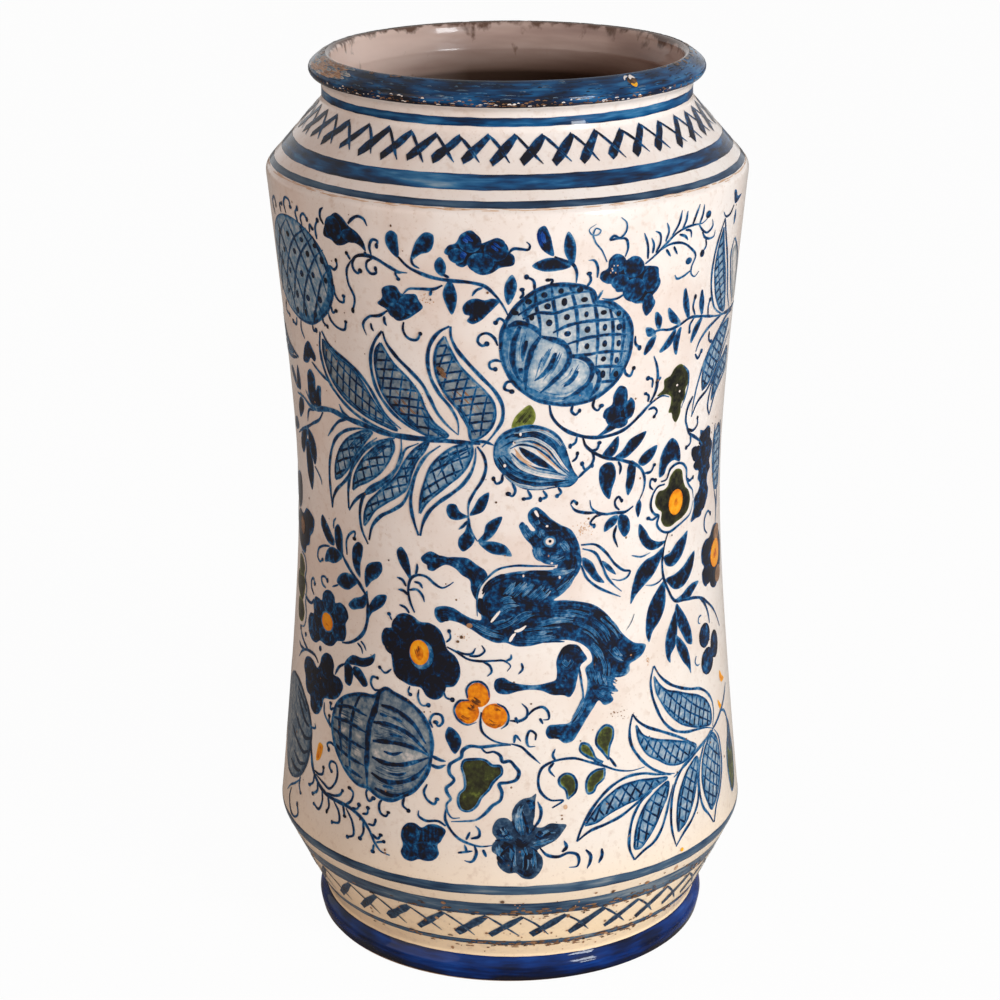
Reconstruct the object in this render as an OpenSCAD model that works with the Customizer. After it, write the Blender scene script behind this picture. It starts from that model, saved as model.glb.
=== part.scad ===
// Albarello: a waisted apothecary's jar of tin-glazed earthenware with painted bands.
// It stands on z = 0 with its axis on Z. Lengths are in millimetres.
// The clay is thrown in sections that are luted one on another, then coated
// inside and outside with glaze, and the bands are painted on the glaze.

/* [Heights] */
// Height of the foot, up to the groove below the heel
foot_h = 9.2; // [8:0.1:14]
// Height of the foot's largest radius
foot_bulge_z = 5.5; // [3:0.1:6]
// Height of the flaring heel, from the groove to the heel edge
heel_h = 32; // [22:0.5:42]
// Height of the waisted wall, from the heel edge to the shoulder edge
wall_h = 223.3; // [180:0.1:260]
// Height of the narrowest point of the waist above the heel edge
waist_up = 118.8; // [90:0.1:140]
// Height of the sloping shoulder
shoulder_h = 21.5; // [16:0.1:28]
// Height of the neck, where a cover is tied
neck_h = 5.5; // [5:0.1:9]
// Rise of the lip from the neck to its outer edge
lip_rise = 4.7; // [4:0.1:7]
// Rise of the lip's sloping top, from its outer edge to its crown
crown_rise = 3.8; // [3:0.1:6]

/* [Outer radii] */
// Outer radius of the standing face
foot_base_r = 66.4; // [60:0.1:70]
// Largest radius of the foot
foot_r = 67.6; // [66:0.1:72]
// Radius in the groove above the foot
groove_r = 64.8; // [62:0.1:66]
// Radius at the heel edge, the widest part of the jar
heel_r = 80.1; // [74:0.1:86]
// Radius at the narrowest point of the waist
waist_r = 71.1; // [66:0.1:74]
// Radius at the shoulder edge
shoulder_r = 78.2; // [74:0.1:84]
// Radius of the neck
neck_r = 59.6; // [56:0.1:62]
// Radius of the lip's outer edge
lip_r = 64.6; // [63:0.1:68]
// Inner radius of the mouth
mouth_r = 56.3; // [55:0.1:58]

/* [Clay] */
// Thickness of the thrown wall, with its glaze
wall_t = 5.5; // [4:0.1:8]
// Thickness of the floor above the foot's groove
floor_t = 8; // [6:0.1:12]
// Radius of the hollow turned under the foot
hollow_r = 48; // [36:0.5:54]
// Depth of the hollow turned under the foot
hollow_depth = 4; // [2:0.1:5]
// How gently the waist bends: small is a tight waist, large an even curve
waist_softness = 0.33; // [0.2:0.01:0.8]

/* [Rounding] */
// Rounding of the foot's edge
foot_round = 3; // [1:0.1:4]
// Rounding of the groove above the foot
groove_round = 2; // [1:0.1:4]
// Rounding of the heel edge
heel_round = 6; // [2:0.1:10]
// Rounding of the shoulder edge
shoulder_round = 3; // [1:0.1:6]
// Rounding at the neck, below and above
neck_round = 3; // [1:0.1:4]
// Rounding of the lip's outer edge
lip_round = 1.6; // [0.8:0.1:2]
// Rounding of the crown, where the lip turns into the mouth
crown_round = 2; // [1.2:0.1:2.6]
// Rounding inside, where the floor meets the heel
floor_round = 7; // [3:0.1:12]

/* [Glaze] */
// Thickness of the glaze
glaze_t = 0.5; // [0.3:0.05:0.8]
// Height of the bare clay that was wiped clean at the standing face
foot_wipe = 0.6; // [0.3:0.1:1.5]

/* [Painted bands] */
// Thickness of the paint
paint_t = 0.12; // [0.08:0.01:0.2]
// How far the rim's paint runs down below the lip's outer edge
rim_band_drop = 1.6; // [0.5:0.1:3]
// Width of the band on the neck
neck_band_w = 2.8; // [1:0.1:4]
// Width of the wide band on the shoulder
shoulder_band_w = 4; // [2:0.1:6]
// Height of the wide band's lower edge above the shoulder edge
shoulder_band_up = 6.3; // [5:0.1:9]
// Width of the band beside the shoulder edge
edge_band_w = 1.7; // [1:0.1:2.4]
// Height of that band's lower edge above the shoulder edge
edge_band_up = 1.8; // [1:0.1:2.4]
// Width of the line on the heel edge
heel_line_w = 3.1; // [1:0.1:4]
// Height of that line's lower edge below the heel edge
heel_line_down = 2; // [1:0.1:3]
// Width of the broad line on the heel
broad_line_w = 4.4; // [2:0.1:6]
// Height of the broad line's lower edge below the heel edge
broad_line_down = 11.5; // [10:0.1:13]
// Width of the thin line above the foot
thin_line_w = 1.7; // [0.8:0.1:3]
// Height of the thin line's lower edge above the groove
thin_line_up = 5.3; // [3:0.1:7]
// Bare glaze left between the groove and the foot's paint
foot_band_gap = 0.4; // [0.2:0.1:1.5]

/* [Hidden] */
heel_z = foot_h + heel_h;
waist_z = heel_z + waist_up;
shoulder_z = heel_z + wall_h;
neck_z = shoulder_z + shoulder_h;
neck_top_z = neck_z + neck_h;
lip_z = neck_top_z + lip_rise;
jar_h = lip_z + crown_rise;
floor_z = foot_h + floor_t + glaze_t;

wall_steps = 24;
corner_steps = 6;
crown_steps = 5;
turn_facets = 128;
// Angle on the crown's arc where the lip's sloping top runs into it
crown_start = 60;
// Longest reach of a rounding along the shorter of its two sides
round_reach = 0.45;
// Points nearer than this to a cut are left out beside it
cut_clear = 0.001;

OUTWARD = [1, 0];
UPWARD = [0, 1];

clay_colour = "#b98a66";
glaze_colour = "#eadfd6";
lining_colour = "#c9b9b4";
band_colour = "#2b4a74";
foot_colour = "#1c2a63";

function unit(v) = v / norm(v);
function turned(v, angle) = [v.x * cos(angle) - v.y * sin(angle), v.x * sin(angle) + v.y * cos(angle)];
function backwards(path) = [for (i = [len(path) - 1 : -1 : 0]) path[i]];
function at_height(a, b, z) = a + (b - a) * (z - a.y) / (b.y - a.y);
function arc(middle, radius, from, to, steps) =
    [for (i = [0 : steps]) middle + turned([radius, 0], from + (to - from) * i / steps)];

// The corner at b on the way from a to c, rounded, as points of an arc
function rounded_corner(a, b, c, radius) =
    let (
        to_a = unit(a - b),
        to_c = unit(c - b),
        half = acos(to_a * to_c) / 2,
        reach = min(radius / tan(half), round_reach * min(norm(a - b), norm(c - b))),
        round_r = reach * tan(half),
        middle = b + unit(to_a + to_c) * round_r / sin(half),
        spoke = b + to_a * reach - middle,
        turn = sign(cross(c - b, a - b)) * (180 - 2 * half)
    )
    [for (i = [0 : corner_steps]) middle + turned(spoke, turn * i / corner_steps)];

// A path through corners, each [radius from the axis, height, rounding]
function flat(corner) = [corner.x, corner.y];
function rounded(corners) =
    let (last = len(corners) - 1)
    [for (i = [0 : last])
        each (i == 0 || i == last || corners[i].z == 0)
            ? [flat(corners[i])]
            : rounded_corner(flat(corners[i - 1]), flat(corners[i]), flat(corners[i + 1]), corners[i].z)];

// The normal on the right of the way from a to b, which points out of the clay
function normal(a, b) = let (d = unit(b - a)) [d.y, -d.x];

// A path moved by a distance along its normals, with the normals of its two ends given
function shifted(path, distance, first, last) =
    let (end = len(path) - 1)
    [for (i = [0 : end])
        let (
            before = i == 0 ? first : i == end ? last : normal(path[i - 1], path[i]),
            after = i == 0 ? first : i == end ? last : normal(path[i], path[i + 1])
        )
        path[i] + distance * (before + after) / (1 + before * after)];

// The part of a rising path between two heights
function point_at(path, z) =
    [for (i = [0 : len(path) - 2])
        if (path[i].y <= z && path[i + 1].y >= z && path[i + 1].y > path[i].y)
            at_height(path[i], path[i + 1], z)][0];
function between(path, low, high) =
    concat(
        [point_at(path, low)],
        [for (p = path) if (p.y > low + cut_clear && p.y < high - cut_clear) p],
        [point_at(path, high)]);

// The waisted wall: a hyperbola on each side of the waist, through the heel and shoulder edges
function flare(t) =
    (sqrt(1 + pow(t / waist_softness, 2)) - 1) / (sqrt(1 + pow(1 / waist_softness, 2)) - 1);
function wall_r(z) =
    z < waist_z
        ? waist_r + (heel_r - waist_r) * flare((waist_z - z) / (waist_z - heel_z))
        : waist_r + (shoulder_r - waist_r) * flare((z - waist_z) / (shoulder_z - waist_z));
wall = [for (i = [1 : wall_steps - 1])
    let (z = heel_z + wall_h * i / wall_steps) [wall_r(z), z, 0]];

// The outer face of the glaze, from the standing face up to the crown
crown_middle = [mouth_r + crown_round, jar_h - crown_round];
crown_outside = arc(crown_middle, crown_round, crown_start, 90, crown_steps);
outer_face = concat(
    rounded(concat(
        [[foot_base_r, 0, 0], [foot_r, foot_bulge_z, foot_round], [groove_r, foot_h, groove_round],
            [heel_r, heel_z, heel_round]],
        wall,
        [[shoulder_r, shoulder_z, shoulder_round], [neck_r, neck_z, neck_round],
            [neck_r, neck_top_z, neck_round], [lip_r, lip_z, lip_round],
            [crown_outside[0].x, crown_outside[0].y, 0]])),
    [for (i = [1 : crown_steps]) crown_outside[i]]);

// The inner face of the glaze, from the crown down to the middle of the floor
inner_edges = shifted(
    concat([[groove_r, foot_h], [heel_r, heel_z]], [for (p = wall) flat(p)],
        [[shoulder_r, shoulder_z], [neck_r, neck_z], [neck_r, neck_top_z]]),
    -wall_t, normal([groove_r, foot_h], [heel_r, heel_z]), OUTWARD);
inner_top = len(inner_edges) - 1;
floor_corner = at_height(inner_edges[0], inner_edges[1], floor_z);
crown_inside = arc(crown_middle, crown_round, 90, 180, crown_steps);
inner_face = concat(
    [for (i = [0 : crown_steps - 1]) crown_inside[i]],
    rounded(concat(
        [[crown_inside[crown_steps].x, crown_inside[crown_steps].y, 0]],
        [for (i = [inner_top : -1 : 1])
            let (p = inner_edges[i],
                rounding = i >= inner_top - 1 ? neck_round : i == inner_top - 2 ? shoulder_round
                    : i == 1 ? heel_round : 0)
            [p.x, p.y, rounding]],
        [[floor_corner.x, floor_corner.y, floor_round], [0, floor_z, 0]])));

// The faces of the clay under the glaze, both rising
clay_outside = shifted(outer_face, -glaze_t, OUTWARD, UPWARD);
clay_lining = backwards(shifted(inner_face, -glaze_t, UPWARD, UPWARD));
clay_inside = [for (i = [1 : len(clay_lining) - 1]) clay_lining[i]];
floor_top = clay_inside[0].y;
clay_top = jar_h - glaze_t;

module turn_outline(outline) {
    rotate_extrude($fn = turn_facets) polygon(outline);
}

// A thrown ring of clay between two flat luted joints
module clay_section(low, high) {
    color(clay_colour)
        turn_outline(concat(between(clay_outside, low, high), backwards(between(clay_inside, low, high))));
}

// A band of paint on the outer glaze between two heights
module band(low, high, top_normal, colour) {
    skin = between(outer_face, low, high);
    top = top_normal == undef ? normal(skin[len(skin) - 2], skin[len(skin) - 1]) : top_normal;
    face = shifted(skin, paint_t, normal(skin[0], skin[1]), top);
    color(colour) turn_outline(concat(skin, backwards(face)));
}

// The ring that the jar stands on, luted round the boss under the floor
module foot_ring() {
    color(clay_colour)
        turn_outline(concat(between(clay_outside, 0, foot_h), [[hollow_r, foot_h], [hollow_r, 0]]));
}

// The floor, with a boss that fills the foot ring down to the hollow
module floor_disc() {
    color(clay_colour)
        turn_outline(concat(
            [[0, hollow_depth], [hollow_r, hollow_depth], [hollow_r, foot_h]],
            between(clay_outside, foot_h, floor_top),
            [[0, floor_top]]));
}

module heel_wall() {
    clay_section(floor_top, heel_z);
}

module lower_wall() {
    clay_section(heel_z, waist_z);
}

module upper_wall() {
    clay_section(waist_z, shoulder_z);
}

module shoulder_cone() {
    clay_section(shoulder_z, neck_z);
}

module neck_ring() {
    clay_section(neck_z, neck_top_z);
}

module rim_lip() {
    clay_section(neck_top_z, clay_top);
}

module inner_glaze() {
    color(lining_colour) turn_outline(concat(inner_face, clay_lining));
}

module outer_glaze() {
    color(glaze_colour)
        turn_outline(concat(
            between(outer_face, foot_wipe, jar_h),
            backwards(between(clay_outside, foot_wipe, clay_top))));
}

module rim_band() {
    band(lip_z - rim_band_drop, jar_h, UPWARD, band_colour);
}

module neck_band() {
    neck_middle = (neck_z + neck_top_z) / 2;
    band(neck_middle - neck_band_w / 2, neck_middle + neck_band_w / 2, undef, band_colour);
}

module shoulder_band() {
    low = shoulder_z + shoulder_band_up;
    band(low, low + shoulder_band_w, undef, band_colour);
}

module shoulder_edge_band() {
    low = shoulder_z + edge_band_up;
    band(low, low + edge_band_w, undef, band_colour);
}

module heel_line_upper() {
    low = heel_z - heel_line_down;
    band(low, low + heel_line_w, undef, band_colour);
}

module heel_line_lower() {
    low = heel_z - broad_line_down;
    band(low, low + broad_line_w, undef, band_colour);
}

module heel_line_base() {
    low = foot_h + thin_line_up;
    band(low, low + thin_line_w, undef, band_colour);
}

module foot_band() {
    band(foot_wipe, foot_h - foot_band_gap, undef, foot_colour);
}

foot_ring();
floor_disc();
heel_wall();
lower_wall();
upper_wall();
shoulder_cone();
neck_ring();
rim_lip();
inner_glaze();
outer_glaze();
rim_band();
neck_band();
shoulder_band();
shoulder_edge_band();
heel_line_upper();
heel_line_lower();
heel_line_base();
foot_band();
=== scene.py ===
"""Albarello: the looks of the jar, with its glaze and its brush work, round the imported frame."""
import math
import random

import bpy
import numpy as np
from mathutils import Matrix, Vector
from mathutils.geometry import delaunay_2d_cdt

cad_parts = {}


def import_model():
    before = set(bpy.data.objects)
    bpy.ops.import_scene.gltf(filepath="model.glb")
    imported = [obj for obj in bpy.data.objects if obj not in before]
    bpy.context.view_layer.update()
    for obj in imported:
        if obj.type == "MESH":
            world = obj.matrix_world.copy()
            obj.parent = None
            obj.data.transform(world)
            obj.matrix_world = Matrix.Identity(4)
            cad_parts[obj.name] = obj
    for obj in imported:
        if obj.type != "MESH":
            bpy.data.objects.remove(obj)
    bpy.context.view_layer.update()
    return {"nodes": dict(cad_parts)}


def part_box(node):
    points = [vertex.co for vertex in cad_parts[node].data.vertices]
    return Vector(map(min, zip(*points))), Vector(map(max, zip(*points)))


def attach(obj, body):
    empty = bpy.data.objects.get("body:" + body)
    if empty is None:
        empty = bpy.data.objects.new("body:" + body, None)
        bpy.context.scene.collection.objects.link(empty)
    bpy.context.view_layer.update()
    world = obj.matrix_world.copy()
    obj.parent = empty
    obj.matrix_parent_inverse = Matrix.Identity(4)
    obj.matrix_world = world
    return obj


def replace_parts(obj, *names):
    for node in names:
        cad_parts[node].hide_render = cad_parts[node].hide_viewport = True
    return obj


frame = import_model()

MM = 0.001
CLAY_NODES = ("foot_ring", "floor_disc", "heel_wall", "lower_wall", "upper_wall",
              "shoulder_cone", "neck_ring", "rim_lip")

# Drawing coordinates: x runs round the jar in millimetres at this radius, with 0 at the front
# and growing to the right, and z is the height in millimetres.
DRAWING_R = 74.0
HALF_TURN = math.pi * DRAWING_R
SEGMENTS = 480
GLAZE_T = 0.5

# Pigments, as written in the "pigment" attribute of the brush work
COBALT, GREEN, ORANGE, CLAY, CREAM, SLATE, DEEP_BLUE = range(7)

dice = random.Random(7)


# Curves

def points(text):
    """Points written as "x z, x z"."""
    return np.array([[float(n) for n in pair.split()] for pair in text.split(",")])


def curve(corners, step=0.7, closed=False):
    """A smooth curve through the corners, as points about one step apart."""
    p = np.asarray(corners, float)
    if closed:
        p = np.vstack([p, p[:1]])
    chords = np.diff(p, axis=0)
    h = np.maximum(np.hypot(chords[:, 0], chords[:, 1]), 1e-6)
    slope = chords / h[:, None]
    first, last = (-1, 0) if closed else (0, -1)
    before = np.vstack([slope[first], slope])
    after = np.vstack([slope, slope[last]])
    h_before = np.append(h[first], h)[:, None]
    h_after = np.append(h, h[last])[:, None]
    tangent = (before * h_after + after * h_before) / (h_before + h_after)
    out = []
    for i, length in enumerate(h):
        t = np.linspace(0, 1, max(2, math.ceil(length / step)) + 1)[:-1, None]
        out.append((2 * t**3 - 3 * t**2 + 1) * p[i] + (t**3 - 2 * t**2 + t) * length * tangent[i]
                   + (3 * t**2 - 2 * t**3) * p[i + 1] + (t**3 - t**2) * length * tangent[i + 1])
    if not closed:
        out.append(p[-1:])
    return np.vstack(out)


def inside(p, outline):
    """Which points of p lie inside a closed outline."""
    x, z = p[:, 0][:, None], p[:, 1][:, None]
    x0, z0 = outline[:, 0], outline[:, 1]
    x1, z1 = np.roll(x0, -1), np.roll(z0, -1)
    rise = np.where(z1 == z0, 1e-9, z1 - z0)
    crossed = ((z0 > z) != (z1 > z)) & (x < (x1 - x0) * (z - z0) / rise + x0)
    return crossed.sum(axis=1) % 2 == 1


# The jar's skin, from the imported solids

def glazed_face(node):
    """The visible corners of a turned glaze node, as radius and height in millimetres.

    They are the corners that don't lie on the clay.
    """
    co = np.array([v.co for v in frame["nodes"][node].data.vertices])
    outline = np.round(np.stack([np.hypot(co[:, 0], co[:, 1]), co[:, 2]], 1) / MM, 2)
    own, first = np.unique(outline, axis=0, return_index=True)
    clay = [frame["nodes"][n] for n in CLAY_NODES]

    def off_clay(place):
        return min((o.closest_point_on_mesh(place)[1] - place).length for o in clay)

    return own[[off_clay(Vector(co[i])) > GLAZE_T * MM / 2 for i in first]]


def thinned(path, gap=0.12):
    """A path without corners that nearly coincide."""
    kept = [path[0]]
    for p in path[1:]:
        if math.dist(p, kept[-1]) > gap:
            kept.append(p)
    return np.array(kept)


# The skin starts at the foot's outer edge, so the other corners at that height are left out
SAME_HEIGHT = 0.1
outer = glazed_face("outer_glaze")
outer = outer[np.lexsort((outer[:, 0], outer[:, 1]))]
foot_edge = outer[outer[:, 1] < outer[0, 1] + SAME_HEIGHT].max(axis=0)
outer = np.vstack([foot_edge, outer[outer[:, 1] > foot_edge[1] + SAME_HEIGHT]])
SKIN = curve(thinned(outer), 0.5)
RUN = np.append(0, np.cumsum(np.hypot(*np.diff(SKIN, axis=0).T)))
FACING = np.gradient(SKIN, RUN, axis=0)[:, ::-1] * (1, -1)

# The glaze runs round in the corners of the clay, so it faces a little softer than the profile turns
SOFT_SPAN = 13
SOFT = np.bartlett(SOFT_SPAN)[1:-1] / np.bartlett(SOFT_SPAN).sum()
FACING = np.stack([np.convolve(np.pad(f, len(SOFT) // 2, "edge"), SOFT, "valid") for f in FACING.T], 1)
FACING /= np.hypot(FACING[:, 0], FACING[:, 1])[:, None]

lining = glazed_face("inner_glaze")
lining = lining[np.lexsort((-lining[:, 0], -lining[:, 1]))]
LINING = curve(thinned(lining), 1.0)


def swell(angle, z):
    """The slight unevenness of a jar thrown by hand, in millimetres."""
    return 0.22 * np.sin(2 * angle + z / 61 + 0.4) + 0.12 * np.sin(3 * angle - z / 43)


LIP_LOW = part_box("rim_band")[0].z / MM
LIP_TOP = SKIN[-1, 1]
LIP_DROP = 0.6
LIP_RISE = 1.2
LIP_FADE = 2


def lean(angle, z):
    """How much higher the skin lies at the front, where the lip is taller, in millimetres."""
    front = (1 + np.cos(angle)) / 2
    return front * np.interp(z, (LIP_LOW - LIP_FADE, LIP_LOW, LIP_TOP), (0, -LIP_DROP, LIP_RISE))


def run_at(z):
    """The way along the skin from the foot to a height."""
    return np.interp(z, SKIN[:, 1], RUN)


def on_skin(angle, run, lift):
    """Points and normals on the skin, lifted off it by a distance in millimetres."""
    r, z = (np.interp(run, RUN, SKIN[:, i]) for i in (0, 1))
    out, up = (np.interp(run, RUN, FACING[:, i]) for i in (0, 1))
    reach = r + swell(angle, z) + lift * out
    height = z + lean(angle, z) + lift * up
    place = np.stack([reach * np.sin(angle), -reach * np.cos(angle), height], -1) * MM
    return place, np.stack([out * np.sin(angle), -out * np.cos(angle), up], -1)


# Materials

def plug(tree, socket, value):
    """Links an input to another node's output, or sets it to a value."""
    if isinstance(value, bpy.types.NodeSocket):
        tree.links.new(value, socket)
    else:
        socket.default_value = value


def node_of(tree, kind, **sockets):
    """A shader node with values or links for its inputs, by name or by number."""
    node = tree.nodes.new(kind)
    for key, value in sockets.items():
        socket = node.inputs[int(key[1:])] if key[0] == "_" else node.inputs[key.replace("_", " ")]
        plug(tree, socket, value)
    return node


def math_of(tree, operation, a, b=0.0, clamp=False):
    node = node_of(tree, "ShaderNodeMath", _0=a, _1=b)
    node.operation = operation
    node.use_clamp = clamp
    return node.outputs[0]


def noise_of(tree, where, scale, detail=3.0, stretch=None):
    """Noise from 0 to 1, with a scale in metres, longer along the axes that stretch makes small."""
    if stretch:
        where = node_of(tree, "ShaderNodeMapping", Vector=where, Scale=stretch).outputs[0]
    node = node_of(tree, "ShaderNodeTexNoise", Vector=where, Scale=1 / scale, Detail=detail)
    return node.outputs[0]


def ramp_of(tree, value, stops):
    """Colours along a value, each stop a place and a linear colour."""
    node = node_of(tree, "ShaderNodeValToRGB", Fac=value)
    elements = node.color_ramp.elements
    while len(elements) < len(stops):
        elements.new(1)
    for element, (place, colour) in zip(elements, stops):
        element.position = place
        element.color = (*colour, 1)
    return node.outputs[0]


def mixed(tree, factor, a, b):
    """A mix of two colours, each a node's output or a linear colour."""
    node = tree.nodes.new("ShaderNodeMix")
    node.data_type = "RGBA"
    plug(tree, node.inputs[0], factor)
    for number, colour in ((6, a), (7, b)):
        plug(tree, node.inputs[number], (*colour, 1) if isinstance(colour, tuple) else colour)
    return node.outputs[2]


def material_of(name):
    material = bpy.data.materials.new(name)
    material.use_nodes = True
    tree = material.node_tree
    where = node_of(tree, "ShaderNodeTexCoord").outputs["Object"]
    return material, tree, tree.nodes["Principled BSDF"], where


GLAZE_IOR = 1.5
GLAZE_SPECULAR = 0.16
PAINT_SPECULAR = 0.02
GLAZE_COAT = 0.2
BAND_COAT = 0.3
COAT_ROUGHNESS = 0.04
GLAZE_ROUGHNESS = 0.2
LINING_ROUGHNESS = 0.22
WORN_SPREAD = 0.16
RIPPLE_STRENGTH = 0.22
RIPPLE_HEIGHT = 0.0006


def glazed(tree, shader, where, roughness=GLAZE_ROUGHNESS, specular=GLAZE_SPECULAR, coat=GLAZE_COAT):
    """The gloss and the slight ripple of the fired glaze."""
    shader.inputs["IOR"].default_value = GLAZE_IOR
    shader.inputs["Specular IOR Level"].default_value = specular
    shader.inputs["Coat Weight"].default_value = coat
    shader.inputs["Coat Roughness"].default_value = COAT_ROUGHNESS
    worn = noise_of(tree, where, 0.012)
    rough = math_of(tree, "MULTIPLY_ADD", worn, WORN_SPREAD)
    rough.node.inputs[2].default_value = roughness - WORN_SPREAD / 2
    tree.links.new(rough, shader.inputs["Roughness"])
    wave = math_of(tree, "ADD", noise_of(tree, where, 0.007, 2.0, (1, 1, 2.2)),
                   math_of(tree, "MULTIPLY", noise_of(tree, where, 0.0012, 2.0), 0.12))
    bump = node_of(tree, "ShaderNodeBump", Height=wave, Strength=RIPPLE_STRENGTH, Distance=RIPPLE_HEIGHT)
    tree.links.new(bump.outputs[0], shader.inputs["Normal"])


GROUND = (0.81, 0.70, 0.63)
GROUND_PALE = (0.84, 0.75, 0.69)
GROUND_WARM = (0.76, 0.62, 0.54)
GROUND_CREAM = (0.83, 0.70, 0.57)
GROUND_LOW = (0.95, 0.72, 0.47)
FRECKLE = (0.58, 0.41, 0.30)
PINHOLE = (0.20, 0.115, 0.06)
STAIN_TOP = 0.056
CREAM_TOP = 0.16

# Two sizes of freckles: the scale of their noise, the level it has to pass and how strongly they show
FRECKLES = ((0.0026, 0.56, 2.2), (0.0009, 0.62, 4.0))
PINHOLE_GAP = 0.0075
PINHOLE_SHARE = 0.055


def ground_colour(tree, where):
    """Tin glaze: uneven creamy pink, yellower towards the foot, with brown pinholes."""
    cloud = noise_of(tree, where, 0.03, 4.0)
    colour = ramp_of(tree, cloud, ((0.34, GROUND_WARM), (0.47, GROUND), (0.6, GROUND_PALE)))
    height = node_of(tree, "ShaderNodeSeparateXYZ", Vector=where).outputs["Z"]
    cream = math_of(tree, "MULTIPLY", math_of(tree, "SUBTRACT", CREAM_TOP, height), 5.0, clamp=True)
    colour = mixed(tree, cream, colour, GROUND_CREAM)
    above = math_of(tree, "DIVIDE", height, STAIN_TOP, clamp=True)
    low = math_of(tree, "MULTIPLY", math_of(tree, "SUBTRACT", 1.0, above), 1.5, clamp=True)
    colour = mixed(tree, low, colour, GROUND_LOW)
    for scale, bar, weight in FRECKLES:
        freckle = math_of(tree, "SUBTRACT", noise_of(tree, where, scale, 4.0), bar)
        colour = mixed(tree, math_of(tree, "MULTIPLY", freckle, weight, clamp=True), colour, FRECKLE)
    cells = node_of(tree, "ShaderNodeTexVoronoi", Vector=where, Scale=1 / PINHOLE_GAP)
    hole = math_of(tree, "LESS_THAN", cells.outputs["Distance"], PINHOLE_SHARE)
    chosen = math_of(tree, "GREATER_THAN", noise_of(tree, where, 0.021, 2.0), 0.53)
    return mixed(tree, math_of(tree, "MULTIPLY", hole, chosen), colour, PINHOLE)


COBALT_INKS = ((0.0, GROUND), (0.12, (0.48, 0.505, 0.515)), (0.3, (0.165, 0.265, 0.36)),
               (0.46, (0.03, 0.145, 0.29)), (0.6, (0.006, 0.073, 0.195)), (0.72, (0.004, 0.034, 0.1)),
               (0.86, (0.006, 0.013, 0.036)), (1.0, (0.009, 0.009, 0.014)))
GREEN_INKS = ((0.0, (0.40, 0.42, 0.10)), (0.25, (0.14, 0.165, 0.03)), (0.5, (0.045, 0.05, 0.016)),
              (0.7, (0.03, 0.029, 0.014)), (1.0, (0.009, 0.009, 0.008)))
ORANGE_INKS = ((0.0, (0.88, 0.46, 0.03)), (0.35, (0.84, 0.29, 0.008)), (0.6, (0.62, 0.145, 0.006)),
               (0.85, (0.25, 0.065, 0.008)), (1.0, (0.08, 0.03, 0.01)))
CLAY_INKS = ((0.0, (0.66, 0.42, 0.27)), (0.15, (0.5, 0.27, 0.14)), (0.4, (0.28, 0.14, 0.07)),
             (1.0, (0.05, 0.028, 0.018)))
SLATE_INKS = ((0.0, GROUND), (0.25, (0.26, 0.29, 0.30)), (0.5, (0.062, 0.113, 0.175)),
              (0.75, (0.018, 0.046, 0.095)), (1.0, (0.01, 0.018, 0.036)))
DEEP_BLUE_INKS = ((0.0, (0.05, 0.14, 0.42)), (0.3, (0.004, 0.045, 0.24)), (0.5, (0.0005, 0.022, 0.14)),
                  (0.68, (0.001, 0.009, 0.055)), (0.85, (0.002, 0.005, 0.024)),
                  (1.0, (0.008, 0.006, 0.012)))

# How unevenly paint lies: pools, hairs of the brush and whole brush loads, each with the scale and detail
# of its noise, how strongly it shows, and whether it is drawn out along a band
UNEVEN_PAINT = ((0.0034, 3.0, 1.1, True), (0.0012, 3.0, 1.0, True), (0.03, 1.0, 0.35, False))


def paint_material(name, stretch=None, coat=GLAZE_COAT):
    """Brushed pigments under the glaze: the ink attribute is how dense they lie."""
    material, tree, shader, where = material_of(name)
    ink = node_of(tree, "ShaderNodeAttribute")
    ink.attribute_name = "ink"
    pigment = node_of(tree, "ShaderNodeAttribute")
    pigment.attribute_name = "pigment"
    uneven = 0.0
    for scale, detail, weight, drawn_out in UNEVEN_PAINT:
        noise = noise_of(tree, where, scale, detail, stretch if drawn_out else None)
        change = math_of(tree, "MULTIPLY", math_of(tree, "SUBTRACT", noise, 0.5), weight)
        uneven = math_of(tree, "ADD", uneven, change)
    heavy = math_of(tree, "ADD", math_of(tree, "MULTIPLY", ink.outputs["Fac"], 0.9), 0.2)
    dense = math_of(tree, "ADD", ink.outputs["Fac"], math_of(tree, "MULTIPLY", uneven, heavy), clamp=True)
    colour = ramp_of(tree, dense, COBALT_INKS)
    others = ((GREEN, ramp_of(tree, dense, GREEN_INKS)), (ORANGE, ramp_of(tree, dense, ORANGE_INKS)),
              (CLAY, ramp_of(tree, dense, CLAY_INKS)), (CREAM, ground_colour(tree, where)),
              (SLATE, ramp_of(tree, dense, SLATE_INKS)), (DEEP_BLUE, ramp_of(tree, dense, DEEP_BLUE_INKS)))
    for number, other in others:
        chosen = math_of(tree, "COMPARE", pigment.outputs["Fac"], float(number))
        chosen.node.inputs[2].default_value = 0.5
        colour = mixed(tree, chosen, colour, other)
    tree.links.new(colour, shader.inputs["Base Color"])
    glazed(tree, shader, where, specular=PAINT_SPECULAR, coat=coat)
    return material


def ground_material():
    material, tree, shader, where = material_of("tin_glaze")
    tree.links.new(ground_colour(tree, where), shader.inputs["Base Color"])
    glazed(tree, shader, where)
    return material


LINING_TONES = ((0.3, (0.33, 0.21, 0.175)), (0.5, (0.49, 0.34, 0.285)), (0.7, (0.62, 0.46, 0.395)))
# The colour of painted light on the lining's lit left side, and of painted shade deeper in the jar
LINING_PAINTED_LIGHT = (0.88, 0.65, 0.55)
LINING_SHADE = (0.10, 0.056, 0.038)
LINING_STAIN = (0.13, 0.065, 0.04)

# Where the lining has painted light, painted shade and stains, in metres to the left of the axis and below
# the lip's top
LIGHT_SHADE_SPLIT = 0.048
LIGHT_SHADE_BLEND = 0.035
PAINTED_LIGHT_DEPTH = 0.03
SHADE_TOP = 0.004
SHADE_FADE = 0.013
STAIN_FADE = 0.006


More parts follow.
